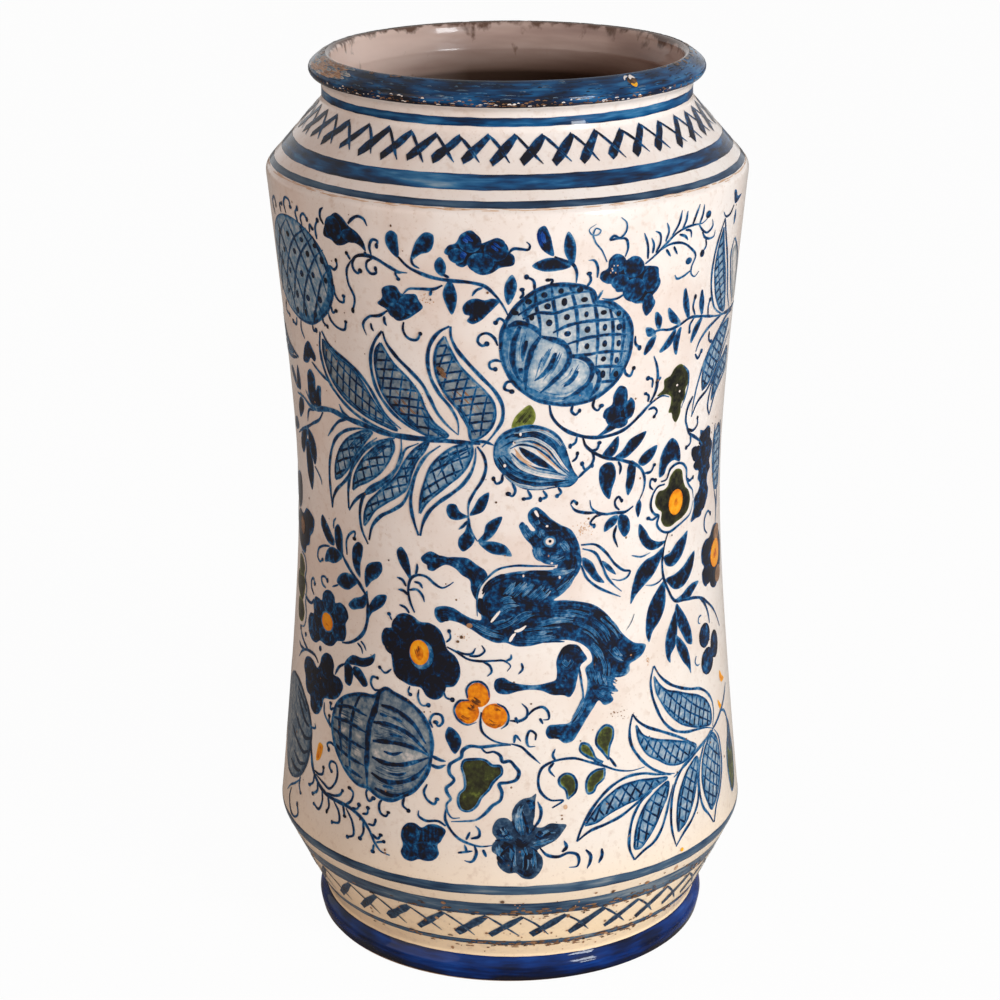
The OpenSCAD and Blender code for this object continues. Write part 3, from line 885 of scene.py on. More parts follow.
def top_left_sprays(s):
    """Blue flowers and leaves on thin stems, under the shoulder's edge."""
    s.fill("-61.5 252.5, -60.5 256, -57.5 259.5, -55 260.8, -53 260, -50.5 257.5, -47 255.5, -44.8 252.5,"
           "-44.5 250, -46.5 251.5, -50 252.2, -53 250.8, -56 250.3, -58 251.5", 0.95)
    s.lines("-61 256, -62.3 258, -61.8 260.5, -60.5 261.5; -50.5 258, -48.5 260, -46.3 261, -44.5 260.5,"
            "-43.3 258.3", 1.0, 0.85)
    s.lines("-44.6 250, -44.9 248.8; -50.3 246, -48.5 247.8, -45 248.8, -41 248.3, -37 246.5, -33 245,"
            "-30.5 245; -33.2 249.8, -30.5 247.2, -26 245.2, -21 244, -16 243.6, -11 243.3, -7 242.3,"
            "-3.5 239, -1.2 235.5, 0 232.8", 1.15, 0.78)
    s.fills("-33.5 249.5, -36 251.5, -37.3 254, -36.7 257, -35 258, -33.3 257, -33 254.5; -29.3 249,"
            "-28.5 252.5, -26.5 256.5, -24 258.5, -22 258, -21.8 255, -23 252.5, -26 251.3; -20 251,"
            "-21.8 248.8, -21.3 246, -19.5 244.8, -18.3 248.5; -17.3 243.8, -19.6 239.5, -18.6 235.5,"
            "-17.2 232.8, -15.2 239; 0 236.3, -1.2 240, -0.5 244, 1.1 246, 2.6 243, 2 239.5", 0.8)
    s.lines("-29 250, -28.6 248, -26.5 246.8; -19.4 245.5, -17.4 244.6", 0.9, 0.75)
    s.curls("-48.5 247.6, -50 245.4, -49.5 243.4, -48 242.6, -47.1 243.5; -42 248.3, -44.5 246.5,"
            "-44.5 244.5, -43 243.2, -41.2 243.8, -41.3 245; -42.5 249, -43 252, -41.5 254.3, -40 254,"
            "-40.4 252.4; -32 245, -34.5 244.5, -33.6 242.7; -50.5 246.2, -52.5 243, -52.4 239,"
            "-50.2 234, -51.3 230; -50.7 246.5, -52 248.4")
    s.fill("-41.5 234, -39.7 236, -39.6 238.8, -37 240.3, -34.5 240.2, -33 238.2, -30.5 238.3,"
           "-28 238.3, -27.2 236.5, -26 234.7, -28.5 232, -31.5 230, -35 229.2, -37 231, -38.3 232.3",
           0.9)
    s.lines("-19.5 242, -22 240.7, -27 240.3, -30.5 239.8, -32.3 238; -38 232, -41 230, -45 229,"
            "-47.6 226, -46.5 222.7; -23 240.2, -23.6 238.3; -39.3 230, -39.3 228, -38.6 227; -44.5 227,"
            "-44.3 225.5, -43.6 224.5", 0.95, 0.74)
    s.curls("-32.6 229, -33 226.5, -31.5 224, -28.5 223.7, -27.2 225.8")
    s.fill("-18.7 252.3, -17.3 254.8, -15.4 255.5, -13.5 258.5, -10.5 259.8, -8.5 257.7, -7.8 255.9,"
           "-5.5 256.7, -3 257.6, -1 256.5, -0.7 254, 1.8 251.8, 1.8 249.3, -2.5 248, -5 246.3,"
           "-8 245.8, -10.5 247.2, -11.5 248.8, -13.5 248, -15.3 248.8, -15.8 250.8", 0.9)
    s.petals("-11 256 3.4 3.2; -3.4 253.6 3.6 3.4; -15 251.6 2.6 2.4; -8 249.6 4 3.2")
    s.hairs("-12.6 257.6, -10.4 256; -4.4 255.6, -2.4 254; -13.6 252.6, -11.4 251.4", 6, 1.0, 0.6, 0.36,
            3, DEEP_BLUE)
    s.petals("-57 255.4 3.6 4; -50 254.2 3.6 2.2; -36.8 236.8 2.8 2.8; -30.6 234.8 3.6 3; -35 232.4 3 2.6")
    s.line("0 252.6, 1.5 254.1, 4 254, 6 253.9, 6.3 255.2, 5.3 256.3", 0.9, 0.78)
    s.fill("-2.5 237.6, -4.5 238.4, -7 237.8, -9.5 238.3, -12 237.5, -13.7 235, -13 233, -11.5 232.6,"
           "-12.5 231, -11 230, -8.5 231, -6 233.4, -4 235.5", 0.86)
    s.lines("-7.5 241.8, -9.5 240.8, -10.7 239", 0.85, 0.7)
    s.curls("-1.2 229.2, -1.2 231, -2.6 232, -3.8 230.6; -3.2 223.2, -4.3 225.8, -6.5 227.2, -8.8 226.2,"
            "-9.2 224.3, -7.9 223.1, -6.5 223.8; -2 218, -4 218.5, -5.8 217.5, -5.5 215.8, -4 215.6;"
            "2 211.5, -0.5 211.3, -1.3 209.3, 1 208.3")


def great_pomegranate(s):
    """The large fruit at the top: a net with seeds, and three leaves that wrap it from below."""
    rim = ("-2.3 222, -1.8 228, 0.5 233, 4 237.5, 8.5 240.7, 13.5 242.3, 18.5 242, 23 241, 25.5 239.3,"
           "27.2 236, 31 235.3, 34.5 233, 37.5 230, 39.3 226, 39.6 221, 38.6 215.5, 36.5 211.5,"
           "33.5 208, 29.5 205.3, 25 203.7, 19.5 203.2, 14 203.8, 9 205.3, 4.5 208.3, 1 212, -1.3 217")
    s.fill(rim, 0.33, level=0, rim=0.34)
    s.fill("27.2 236, 31 235.3, 34.5 233, 37.5 230, 39.3 226, 39.6 221, 38.6 215.5, 36.5 211.5,"
           "33.5 208, 32.4 210, 35.4 216, 36 224, 33.4 231", 0.46, level=0.4, rim=0.0)
    s.fill("3.4 237, 8.5 240.7, 13.5 242.3, 18.5 242, 23 241, 22 239.4, 15 239.2, 9 236.6, 4.6 232", 0.42,
           level=0.4, rim=0.0)
    s.fill("-1.5 221, 0.5 230, 3 230.3, 1.8 224, 2 217, 4.6 211.4, 9.6 208, 15 206, 21 206.2,"
           "26.6 209.6, 26 204.6, 20 203.8, 14 204.2, 5 208.8, 0 214", 0.46, level=0.4, rim=0.0)
    s.fill("3 229.6, 6.5 229, 9 226, 7 222, 5.6 216, 5 211, 2.6 215, 2 221", 0.3, level=0.6, rim=0.1)
    s.fills("9.7 225, 14 224, 17.6 221, 17.4 217, 13.4 212, 9.4 208.6, 6.4 209.6, 6.4 215, 8 221;"
            "19 217.6, 23 216.8, 25.4 213.6, 24 210, 20 207.4, 14 206.8, 11 208, 15 211.6, 18 215", 0.2,
            level=0.6, rim=0.14)
    s.hairs("4.6 228, 3.4 221, 4.2 214; 12.4 223, 9.6 217, 7.6 211; 15.4 221.6, 13 216, 9.6 211; 22 216,"
            "19.4 211.6, 14.6 208.4; 0.6 226, 0.4 218, 3.4 211.6; 8 207.4, 15 205.4, 23 206.4; 36 228,"
            "37 220, 34 212", 8, 1.5, 0.4, 0.46, 1.2)
    s.contour(rim, 1.4, 0.72)
    s.lines("4.5 236.8, 5.5 232, 6.5 229.5; 8 240.3, 8.3 236, 9.4 231, 9.7 226.5; 12.8 241.8, 13.6 236,"
            "14.6 230, 15 225.5; 18.3 241.6, 20.3 235, 21.2 228, 21.2 219.5; 24.8 239.4, 26.8 233,"
            "27.7 226, 27.6 215; 31 234.6, 32.5 229, 33 222, 32.4 211; 36 231, 36.7 225, 36 215", 1.15,
            0.72)
    s.lines("2.8 233, 7.5 236, 13 238, 18.5 239.4, 25 239.4; 4.3 231.8, 9 233.6, 14 233.3, 19 234.6,"
            "27 234.7, 33 233; 13.5 227, 18 229, 22.5 229.8, 28 229.8, 36.5 229.4; 18 223, 23 224.3,"
            "28 224.8, 39 224; 19.5 219.3, 24 219, 29 219.3, 39 218.4; 26.3 214.7, 31 214.5, 37.5 213.4;"
            "28.5 209.5, 34.5 209.4", 1.1, 0.72)
    s.dots("2 233.8, 6 237.3, 10.7 239.3, 15.7 240.3, 21.5 240.3, 7 232.2, 11.7 235.6, 16.8 236.7,"
           "23 237, 12.3 230.3, 17.7 231.8, 23.8 232.2, 29.4 232.2, 34.5 231.3, 18 226.4, 24.3 227.2,"
           "30 227.3, 34.9 226.8, 24.3 221.8, 30.2 222, 35 221.5, 30 217, 34.6 216, 30 212, 34.6 211.5",
           0.98, 0.98)
    s.lines("0 229.5, 3 230.5, 6.5 229.5, 9 227.6, 9.8 225.8; 3.5 229.5, 1.8 225, 1.3 219, 2.2 214.5,"
            "4.2 211; 9.7 226, 7.5 222.5, 6 218, 5.2 213, 5.2 208.6; 9.7 226, 13 225, 16.5 223.5,"
            "18.3 221.3, 18.8 218.4, 17.5 215, 14 211.3, 9.8 207.5; 18.8 219, 22 218.5, 25 216.8,"
            "26.4 214, 25.5 210.3, 22 207.2, 17 205; 27 214.5, 28.8 212, 28.5 208.6, 26 205", 1.75, 0.7)
    s.lines("5.6 224.8, 4.6 221.5, 4.3 218; 14.5 220.5, 13 216.5, 10.5 213.4, 8 211.6; 21.6 214,"
            "20 211.4, 17.2 209.2; 3.6 216, 4 212.6", 1.5, 0.68)
    s.curls("41 223, 41.2 220.4, 42.8 218.8; 37.6 213.5, 38.2 211, 39.8 210, 41.1 212.4; 20.4 203,"
            "20 200.8, 21.4 199.6, 22.6 200.8; 27.6 204.4, 27.2 201.5, 28.8 200.2, 30 201.6; 7.8 241,"
            "7.4 244, 5.4 245.2; 12.4 242, 13 244, 11.7 244; 23.6 241, 24.8 243, 24.2 245.2; 3.4 238.4,"
            "4.4 239.6, 4.1 241.2")


def top_right_sprays(s):
    """A flower, a feathery branch and a leafy twig, to the right of the large fruit."""
    s.fills("13.3 251.5, 10 253.5, 8.5 257, 9 260.5, 10.3 261.2, 12 258.5, 12.9 255; 19.2 248.4,"
            "16.6 252, 16.3 255.5, 17.5 259, 19.5 256, 20 252.5; 18.5 248, 15.5 250.3, 11.5 251,"
            "7 248.4, 9.5 247, 14 246.7", 0.8)
    s.hairs("9.6 259.4, 10 256.4, 11 254", 7, 1.1, 0.6, 0.36, 3, DEEP_BLUE)
    s.lines("13.5 251.3, 16 250, 19.3 248.3, 20.3 246, 20.3 242.6", 1.05, 0.76)
    s.fill("27.6 243.4, 28 245.2, 30 246.2, 30.4 249, 32.5 250.6, 34.8 249.8, 35.8 248.2, 38.4 249.2,"
           "41.2 248.2, 42.4 245.6, 45 245.1, 48 244, 48.4 241.5, 49.3 239.2, 48 236.5, 46.5 235.2,"
           "47.8 233, 46.5 230.4, 44.5 228.9, 43.4 230.6, 43 233, 40 233.7, 37.5 235.5, 36 237.8,"
           "33.2 238.4, 32.3 240.8, 29.8 241.4", 0.9)
    s.petals("31 243.8 2.8 2.2; 33.4 247.4 2.7 2.8; 39 245.4 3.6 3.2; 45.4 240.6 3.2 4;"
             "45 232.8 2.2 3.4; 39.4 238.2 4 3.8; 34.4 241.4 3 2.4")
    s.dots("31.4 246, 32.6 244.6, 31 244.8, 33.2 246.8", 0.24, 0.1, 5, CLAY)
    s.dots("32 246.9, 31.6 245.4", 0.24, 0.0, 5, CREAM)
    s.lines("26.8 243.6, 26.8 247, 25.5 249.3, 23.8 249.4; 35.6 249.3, 36.4 252, 35.5 255, 33 255.4,"
            "30.4 255.4, 31.5 256.4, 33.4 255.5, 35.5 257.5, 35.5 260, 33.6 262; 36.5 237.6, 34 236.3,"
            "31.5 236, 28.6 236.8; 27 236.4, 28.8 239.4", 0.8, 0.68)
    s.line("29.7 248.3, 28 252, 25.5 255.5, 25 257.5, 25.8 259.3, 27.3 258.5, 26.5 257.3, 24.5 257.5,"
           "23.7 259, 25.8 260.7", 0.55, 0.5)
    s.lines("42.8 246, 46 248, 50 251, 54 253.8, 58 255, 62 255.2, 66 255, 68.5 256; 47 249, 52 250.8,"
            "57 250.3, 61 248, 64 244.8, 62.5 241.5, 62.5 239.5, 64.5 238, 66.6 239.3; 62 240.3, 58 239,"
            "56 239, 55 240.4; 64.3 254.8, 66.5 252.5, 69 251.3, 72 253, 71.4 255.1; 66.3 252, 68 250,"
            "71 249, 73.5 249.5, 73.8 251; 68.5 249.5, 69.2 247, 67.8 245.4", 0.8, 0.66)
    s.lines("43.7 247.5, 43.3 252, 41.8 256; 45.3 249, 45.5 252, 44.5 254; 46.5 249, 48 252, 47.5 255,"
            "45.8 256; 50 252, 51 255.5, 50 258; 52.5 253.5, 55 257, 55.8 261; 56.5 254.5, 58 257.5,"
            "58.3 260.4; 61 255.2, 62.3 258, 63.8 261.5; 64.5 255, 65.8 258, 66 261; 50.5 249.4,"
            "52.5 246.8; 53.5 249.8, 55.3 247; 55.5 253.3, 58.5 252, 59.5 250.8; 58 254.3, 60.5 253.5,"
            "61 251.3", 0.85, 0.66)
    s.dots("60.8 243.8, 67.4 244.9, 68.8 257.2", 1.2, 0.7)
    s.lines("46 222.5, 50 223.3, 55 222.6, 59.5 223.3, 64 224.5, 70 223.7, 76 222.3, 82 221, 87 220.3",
            0.95, 0.72)
    s.leaves("50.2 223.4 48.4 229.6; 49 222.4 44.8 225; 49 222 44.8 216; 59.5 223.8 53.5 229.9;"
             "63.6 224.6 60.4 235; 71 224 69.5 232.6; 57.6 222.4 51 215.8; 60 222.4 58.8 213.4;"
             "71.3 223.2 65.8 215.8", 3.0, 0.84)
    s.curls("66.8 225, 65.3 228, 66 231; 66.5 224, 64.5 222, 64.6 219.8; 75 222.8, 74.5 226, 75.3 228")
    s.fills("85.5 261.5, 87.5 261, 89 259, 94 258.5, 87 257, 86 259; 89 254.5, 88 252, 88.5 249.5,"
            "90 252", 0.9)
    s.line("86.5 256.5, 84 254.3, 80.5 254, 78.3 256", 0.8, 0.7)


def right_fronds(s):
    """Feathered leaves at the right edge, and a green leaf beside them."""
    s.frond("80 253.5, 76.6 247, 74.8 240, 74.8 234, 76.4 228.6, 79 224.5, 84 221.5, 88 220; 80 253.5,"
            "82.4 247, 85.5 240, 88 233, 90.5 226, 95 220",
            "79.8 250.6, 77.4 244.6, 76.5 239, 77.5 232.6, 80 227, 84 222.8, 88 221.4, 87.5 227,"
            "85.5 234, 83 240.6, 80.8 246.6", (20, 110), **THIN_FROND)
    s.fill("91.5 241, 92.5 235, 96 227, 101 222, 102 229, 98 237, 94 241.5", 0.2, SLATE, 0, 0.2)
    s.lines("91.5 244.5, 89.5 241, 91 234, 95 226, 99 221; 92 244.5, 99 238, 103 230, 105 222", 1.0, 0.6)
    s.frond("100 218.5, 92 218.5, 84 215, 77 209, 72.5 201, 70.5 194, 70 190; 70 190, 73 194, 80 197,"
            "87 203, 93 208, 100 212",
            "76 197.5, 75 202, 77 208, 82 213, 88 216, 96 216, 92 210, 85 203, 80 198.8", (150, 60),
            **THIN_FROND)
    s.frond("83.5 187, 81.5 190, 82.5 196, 86 201, 92 205; 83.5 187.5, 88 194, 94 197, 101 199",
            "84 192, 85 198, 90 203, 99 206, 100 201, 92 198, 87 194", (150, 60), **THIN_FROND)
    s.lines("86 220.5, 80 219.5, 74 217.5, 70.5 214.5, 69.3 212; 67 189, 69.5 184.5, 73 182.5, 77 180,"
            "79 178.5; 70 197, 67.5 194, 66.8 189.5, 68 186.5; 86 220.4, 95 219.6, 106 219.8", 1.1, 0.7)
    s.curls("69 211.4, 71 209.5, 72.8 211.5; 68 186.5, 72 185, 74.5 186.5, 74.2 188.6; 70.3 184,"
            "70.5 181, 68.2 180; 77 217, 77.5 214, 79 213.2")
    s.fill("51.5 201.3, 54.3 203.2, 54.2 206, 57 207, 58.5 208.8, 61.5 209.8, 64 208.2, 66.6 205.2,"
           "66.5 202.6, 65.2 200.5, 65.3 198, 63.5 196, 63.3 193, 61.2 190.3, 59.4 192.2, 58.8 194,"
           "57.4 194.3, 58 197, 58 199.4, 56.3 200.7", 0.72, GREEN)
    s.line("63 209, 66 206, 66.6 202.6, 65.4 198, 63.6 194.5", 0.7, 0.6)
    s.dots("60.4 203, 62 200.6", 0.4, 0.1, 5, CREAM)


def arc_stem(s):
    """The stem that bends from the large fruit to the right and down, with its leaves."""
    s.lines("12.8 203.5, 13.5 200, 15.5 197, 18.5 194.5, 22 192.8, 27 191.4, 33 191.2, 39 192.5,"
            "44.5 196, 49 199.3, 54 200.8, 57 199.8; 48.5 199.6, 50.2 202, 51.2 206.5, 50.4 211.5,"
            "48.8 215; 24 191.8, 25 189, 27 187, 30 185, 33 183.7, 36.5 182.8, 40 181.5, 43.5 180,"
            "46.5 177.5, 48 174, 47.8 171, 45.5 166.5", 1.15, 0.76)
    s.fill("28.5 191.4, 31.5 193.5, 33 196, 30.8 197.5, 31.3 200, 33.8 201.5, 34.2 204.5, 36.5 207.3,"
           "38.6 206.4, 39.5 203.6, 39.4 200.6, 40.6 202.8, 42.3 201, 42.4 198.4, 40.8 196, 38 194.4,"
           "34.5 192.8", 0.9)
    s.petals("36.6 202.6 2.4 4; 40.4 199 2 3.2; 34.4 197.6 2.8 3.4; 37 194.9 3 1.8")
    s.curls("52.6 207.4, 51 206; 49 204.5, 48.8 207.4, 47 208; 47.6 200, 47.8 202, 46.4 203; 48 197.4,"
            "50.5 197.5, 51.8 196, 50.7 194.5; 22 192.3, 21.5 190.3, 19.8 189.3; 27 187, 28 184.5,"
            "27 182, 25 181, 24 183; 26.8 187, 29 187.3, 29.8 189.3; 48 176, 50.5 176, 52 178")
    s.fills("31 184.5, 33.5 188, 36.7 190.5, 37 187.5, 35.5 184.5, 33.5 183.6; 35.5 183.5, 38.5 185.5,"
            "41 188.5, 44.5 189.8, 47.8 190.2, 46 187, 43 184.5, 39.5 182.6; 45 180, 46.5 182.5,"
            "49.5 184, 53 184.4, 52 181.5, 49.5 179.3, 46.5 178.7; 33 182.3, 30.5 181, 30 178, 30.8 174,"
            "32.5 171, 34 169.7, 35 173, 36.3 177, 36 180, 34.6 182; 42 181.5, 40.8 179.5, 40.5 176,"
            "40.2 173, 41.3 169.8, 43 172, 44 176, 44 179.5, 43.3 181; 46 167.5, 44.5 165.5, 44.8 163,"
            "45.5 161.5, 46.8 164, 46.8 166.5; 37.5 163.8, 34.5 163.5, 32.5 161.5, 32.3 159, 34.5 159.8,"
            "37 161.5; 38 163.8, 41 163, 42.3 160.5, 42 157.5, 40.2 156, 38.4 158, 37.4 161", 0.84)
    s.lines("43.5 165.8, 40.5 164.5, 36.5 164.8, 32.5 165, 29.5 166, 27.5 168, 27 170.5; 29.5 166,"
            "25 166.5, 21.5 168, 20.3 169.8; 37 182, 38 180, 37.7 177.5; 37 160.5, 36 157.5, 37.5 153",
            1.0, 0.74)
    s.curls("20.3 169.8, 21.2 170.9, 22.4 169.9; 32 165.2, 28.8 164.5, 27.3 162.5, 28.6 161.6; 38 165.5,"
            "36.5 167, 36.3 169, 37.5 170, 38.8 168.5")


def striped_bud(s):
    """The pointed bud above the goat, striped along its length."""
    s.fill("-5 187, -4.5 190.5, -2 194, 2 196, 7 196.7, 12 195.5, 16 192.5, 18.5 188.5, 20 184,"
           "21.3 180.8, 22.8 178.3, 20.5 175.9, 16 175.8, 10 175.3, 5 175.8, 1 178, -2.5 181.5,"
           "-4.5 184.5", 0.52, level=0, rim=0.2)
    s.fill("-0.4 189, 2.4 191.6, 7.6 191.2, 13 187.6, 17.4 182.4, 20 179.4, 14 180.6, 8.6 181.8,"
           "3.6 184.4, 0.6 187", 0.12, level=0.6, rim=0.2)
    s.hairs("-3.4 191.6, 1 194, 6 194.8, 11.5 192.4, 15.5 187.8, 19 182.4, 22 178.6; -2.8 190, 2 192.6,"
            "8 192, 13 188.2, 17 183.4, 21 178.8; -4 186, -1 181.5, 4 178.2, 10 177, 16 177.2,"
            "21.5 177.6; -2.6 187, 1 182.5, 6 180.2, 12 179.2, 20.5 178.4", 6, 0.9, 0.8, 0.8, 1)
    s.lines("-3 189.4, 2 192, 8 191.2, 13 187.6, 17.6 182.4, 21 178.6; 0.4 189.4, 3 190.6, 7.4 190,"
            "12 187, 16.4 182.4, 20 179.2; -1.8 187.4, 2 183.6, 7 181.2, 13 180.2, 20.4 178.6; 0.8 188,"
            "4 184.8, 8.6 182.8, 13.4 181.6, 19.6 179", 0.7, 0.66, level=2)
    s.hairs("1.4 192, 7.3 192.7, 13 189.4, 17.8 182.8, 20.6 179.4; 0.1 187.8, 3.5 183.6, 8.2 181.2,"
            "13.5 179.8, 20.1 178.4", 4, 0.5, 0.45, 0.12, 2.5)
    s.hairs("1.6 194.8, 8.7 195.6, 14.6 192.6, 18.4 187.3; -2.2 181.4, 1.6 178.2, 7.8 176.4, 15.9 176.4",
            4, 0.4, 0.45, 0.3, 2.5)
    s.hairs("9.6 195.6, 12.4 195, 15 193.2", 5, 0.4, 0.4, 0.35, 3, CLAY)
    s.hairs("1.4 189.4, 4.4 185.6, 9 183; 9 189, 13.4 185, 17 181.4", 4, 0.6, 0.5, 0.12, 1.5, CLAY)
    s.fill("3.2 189.8, 7 188.3, 10.6 185.8, 15.8 180.8, 12.4 182.4, 9.6 183.4, 6.4 185.5, 4 188", 0.92,
           level=3)
    s.lines("2.2 188, 5 184.6, 9 182.2; 7.6 191, 11.6 188.8, 14.4 185.6", 0.35, 0.1, pigment=CLAY, level=2)
    s.line("-4.6 187, -4.2 190.6, -1.6 194, 2.4 196, 7 196.6, 12 195.4, 16 192.4, 18.6 188.4", 1.2, 0.6)
    s.dots("3.7 194.2, 1.7 191.2, -1.3 183.8", 0.5, 0.2, 5, CREAM)
    s.curls("-2 181, -2.5 178.4, -4 177.8, -4.9 179.4; 1 178.2, 2 175, 1 173.6, -0.2 174.4; 6 175.6,"
            "7 173, 4.8 172.6; 11 175.2, 12.2 173, 10.2 172.2; 16 175.8, 17 174, 15.7 173; 20.6 184,"
            "22 185.2, 22.3 186.6; 22.7 178.4, 24.5 180, 27.5 182")
    s.fill("1 196, 1.8 199.5, 4 202, 6.7 203.7, 8 202, 8.5 199.5, 7.5 197.3, 4.5 197", 0.34, GREEN, rim=-0.2)
    s.hairs("2.6 197.6, 4.6 200, 6.6 202.4; 4.6 197.8, 6 199.4, 7.4 201.4", 5, 0.6, 0.5, 0.75, 2, GREEN)


def left_frond(s):
    """The large feathered leaf on the left: seven lobes on a level stem."""
    s.frond("-17.8 229, -21 227, -24 223, -25.2 218, -24.5 212, -22 207, -18 202, -16 197.5, -16 193.5;"
            "-17.5 229, -17.5 226, -16 222, -12.5 217.5, -8 212.5, -4 208, -1.8 203, -2 199, -4.5 194.5,"
            "-8.5 189.8",
            "-19.4 225.5, -21.5 223, -22.8 219, -22.8 214, -21 209, -18 204.5, -14.5 200.5, -12.8 196.5,"
            "-11.5 192, -9 193, -5.5 196.5, -4.2 200, -4.5 204, -7 208, -11 212, -15 216.5, -17.8 221.5",
            (10, 75), pigment=SLATE)
    s.frond("-40.5 225, -43 222, -45.3 217, -45.5 211, -44 205.5, -40 200, -34 195.5, -28 192.8;"
            "-40.3 225, -39.5 222, -36.5 218, -31 213, -27.5 209.5, -25 205, -22.5 200, -19 196,"
            "-16 193.5",
            "-41.3 221, -43 219, -44 215, -43.5 210, -42 205, -38 200, -33 196, -28 193, -22 192,"
            "-19.5 192.8, -24 197, -26.5 201, -28.5 206, -31.5 210, -36 214, -39 217.5", (0, 80),
            pigment=SLATE)
    s.hairs("-22.2 215.6, -20.4 213.8, -18.8 212.6; -21.6 213.8, -20 212.2, -18.6 211.4", 8, 0.8, 0.45,
            0.8, 5, CLAY)
    s.hairs("-21 209, -16.4 204, -13 199; -17.6 210, -12.4 205, -8.6 200; -38 205, -33 199.6, -28 196", 5,
            1.6, 0.3, 0.6, 1, CLAY)
    s.frond("-67.3 220, -65 217, -61 214.5, -56 212.5, -51 209.5, -46.5 205, -43.5 200.5, -40 196.5,"
            "-35.5 193.5; -68.3 219.5, -69.3 214, -68.5 209, -66 204, -61 199.5, -54 195.5, -46 193,"
            "-38 191.5",
            "-67.2 217.3, -67.5 213, -66 208, -62.5 203, -57 199, -50 196, -43 194, -37 193, -40 195.4,"
            "-44 199.4, -47 203, -50 207, -54 210.5, -60 213, -65 216", (80, 150), pigment=SLATE)
    s.frond("-68.5 160, -69.3 166, -69.5 172, -68 178.5, -65 184, -60 188, -54 190.3, -48 191.3;"
            "-68.5 160, -67.8 163.5, -65.5 167, -62 170, -58.5 173.5, -56.5 177.5, -53 182, -49 186, -45 189",
            "-66 170.5, -65.7 175, -63.5 180, -60 184.5, -55 188, -50 190.3, -47 190.6, -50 186.8, -54 182.3,"
            "-57 178, -60 174.5, -63.5 171.6", (20, 100))
    s.frond("-59.4 162, -59.2 169, -57.5 175, -54 180, -49 185, -43 188.5, -38 190;"
            "-59.2 161.5, -57 164.5, -53 168, -49 170, -45 172.5, -40 177, -37 182, -35.8 186.5, -35.7 191.5",
            "-57 169, -56.2 173, -53.5 178, -49.5 182.5, -44 187, -39 189.3, -38.5 187.6, -40 183.3, -43 179,"
            "-46 176, -50 173.3, -54 171.2", (20, 100))
    s.frond("-50.4 152, -53 156, -54 161, -53 166, -50 170.5, -44 174.5, -39 178.5, -36 183,"
            "-34.5 186.5, -29.5 189.5; -50 153.5, -48.5 158.5, -45 162.5, -40 165.5, -36 168.5,"
            "-33.5 173, -32 177",
            "-52 158, -52 161.5, -50 166, -46 170, -41.5 174, -37.5 178, -34.5 183, -30 188, -26 190.6,"
            "-27.5 187.3, -30.5 183.3, -32.5 179, -34.2 174, -38 170.5, -43 167.3, -47.5 163.8,"
            "-50.3 160", (20, 100))
    s.frond("-30.4 158.5, -32 163, -33 168, -32.5 174, -30.5 180, -27 185.5, -22 189.5; -29.8 158.5,"
            "-28.7 163, -26.5 167, -23 170.5, -19 173.5, -15 177, -12 181.5, -10.7 186, -10.5 189.5",
            "-29.8 166, -29.6 170, -28 176, -25.5 182, -21 187, -16 190, -12 190.8, -11.6 188.3,"
            "-13 184, -16 180, -20 176.5, -24 173, -28 169", (30, 110))
    s.hairs("-27 193.2, -33 196.6, -39 201.4; -37 193.4, -45 195.4, -54 198.6; -20 192.8, -25 196,"
            "-29 202; -48 190, -54 186, -59 181; -40 188.4, -46 184, -51 178; -27 189.4, -33 182,"
            "-37 175; -13 189.8, -20 185, -25 178; -11 193.4, -14 199, -19 206", 8, 1.2, 0.5, 0.66, 1.2)
    s.line("-9 191, -16 191.2, -24 191.3, -33 191, -42 191.2, -50 192.3, -58 193, -66 193.8, -71 193,"
           "-75 191.8, -80 191.8, -86 193.3, -92 193", 1.8, 0.66)
    s.lines("-71 192, -73.5 189, -79 186, -84 183.5, -89 181.5, -96 178; -10 190, -8 187, -7.3 183.5,"
            "-8.5 179, -11 175, -13 171, -13.3 166; -11 191.5, -7.5 191.6, -4.6 190.5; -66 203.5,"
            "-71 205.5, -75.5 207.8; -56 193, -60 195, -61.3 197; -57 193, -62 191, -66 187.5,"
            "-69 184.3; -77 191, -81.5 189.8, -83 187, -83.3 185.5", 1.0, 0.7)
    s.fills("-13.2 166.3, -16 168, -17.5 170.3, -20 170, -20.6 168, -19.5 165.5, -17 165, -15 165.6;"
            "-12.8 166.8, -11.3 170, -9.5 173, -6.5 174.8, -7 171, -8.5 168.3, -10.5 167.3; -13.4 164.5,"
            "-14.5 161.5, -16.5 159, -16.7 156.5, -15.3 154.7, -13 156, -11.3 158.5, -11.8 161.5;"
            "-10.3 158.3, -8.3 161, -7.5 164, -5 166, -2.3 166.8, -3.5 163, -5.5 160, -8 158.3; -10 158,"
            "-7.5 158.5, -4 158.3, -1 157, 0.8 153.5, -2 153.8, -6 154.5, -8.5 156.2", 0.82)
    s.lines("-13.3 167, -12.6 162, -10.3 158.3; -13.5 165, -15 163.2, -16.5 162", 0.9, 0.74)


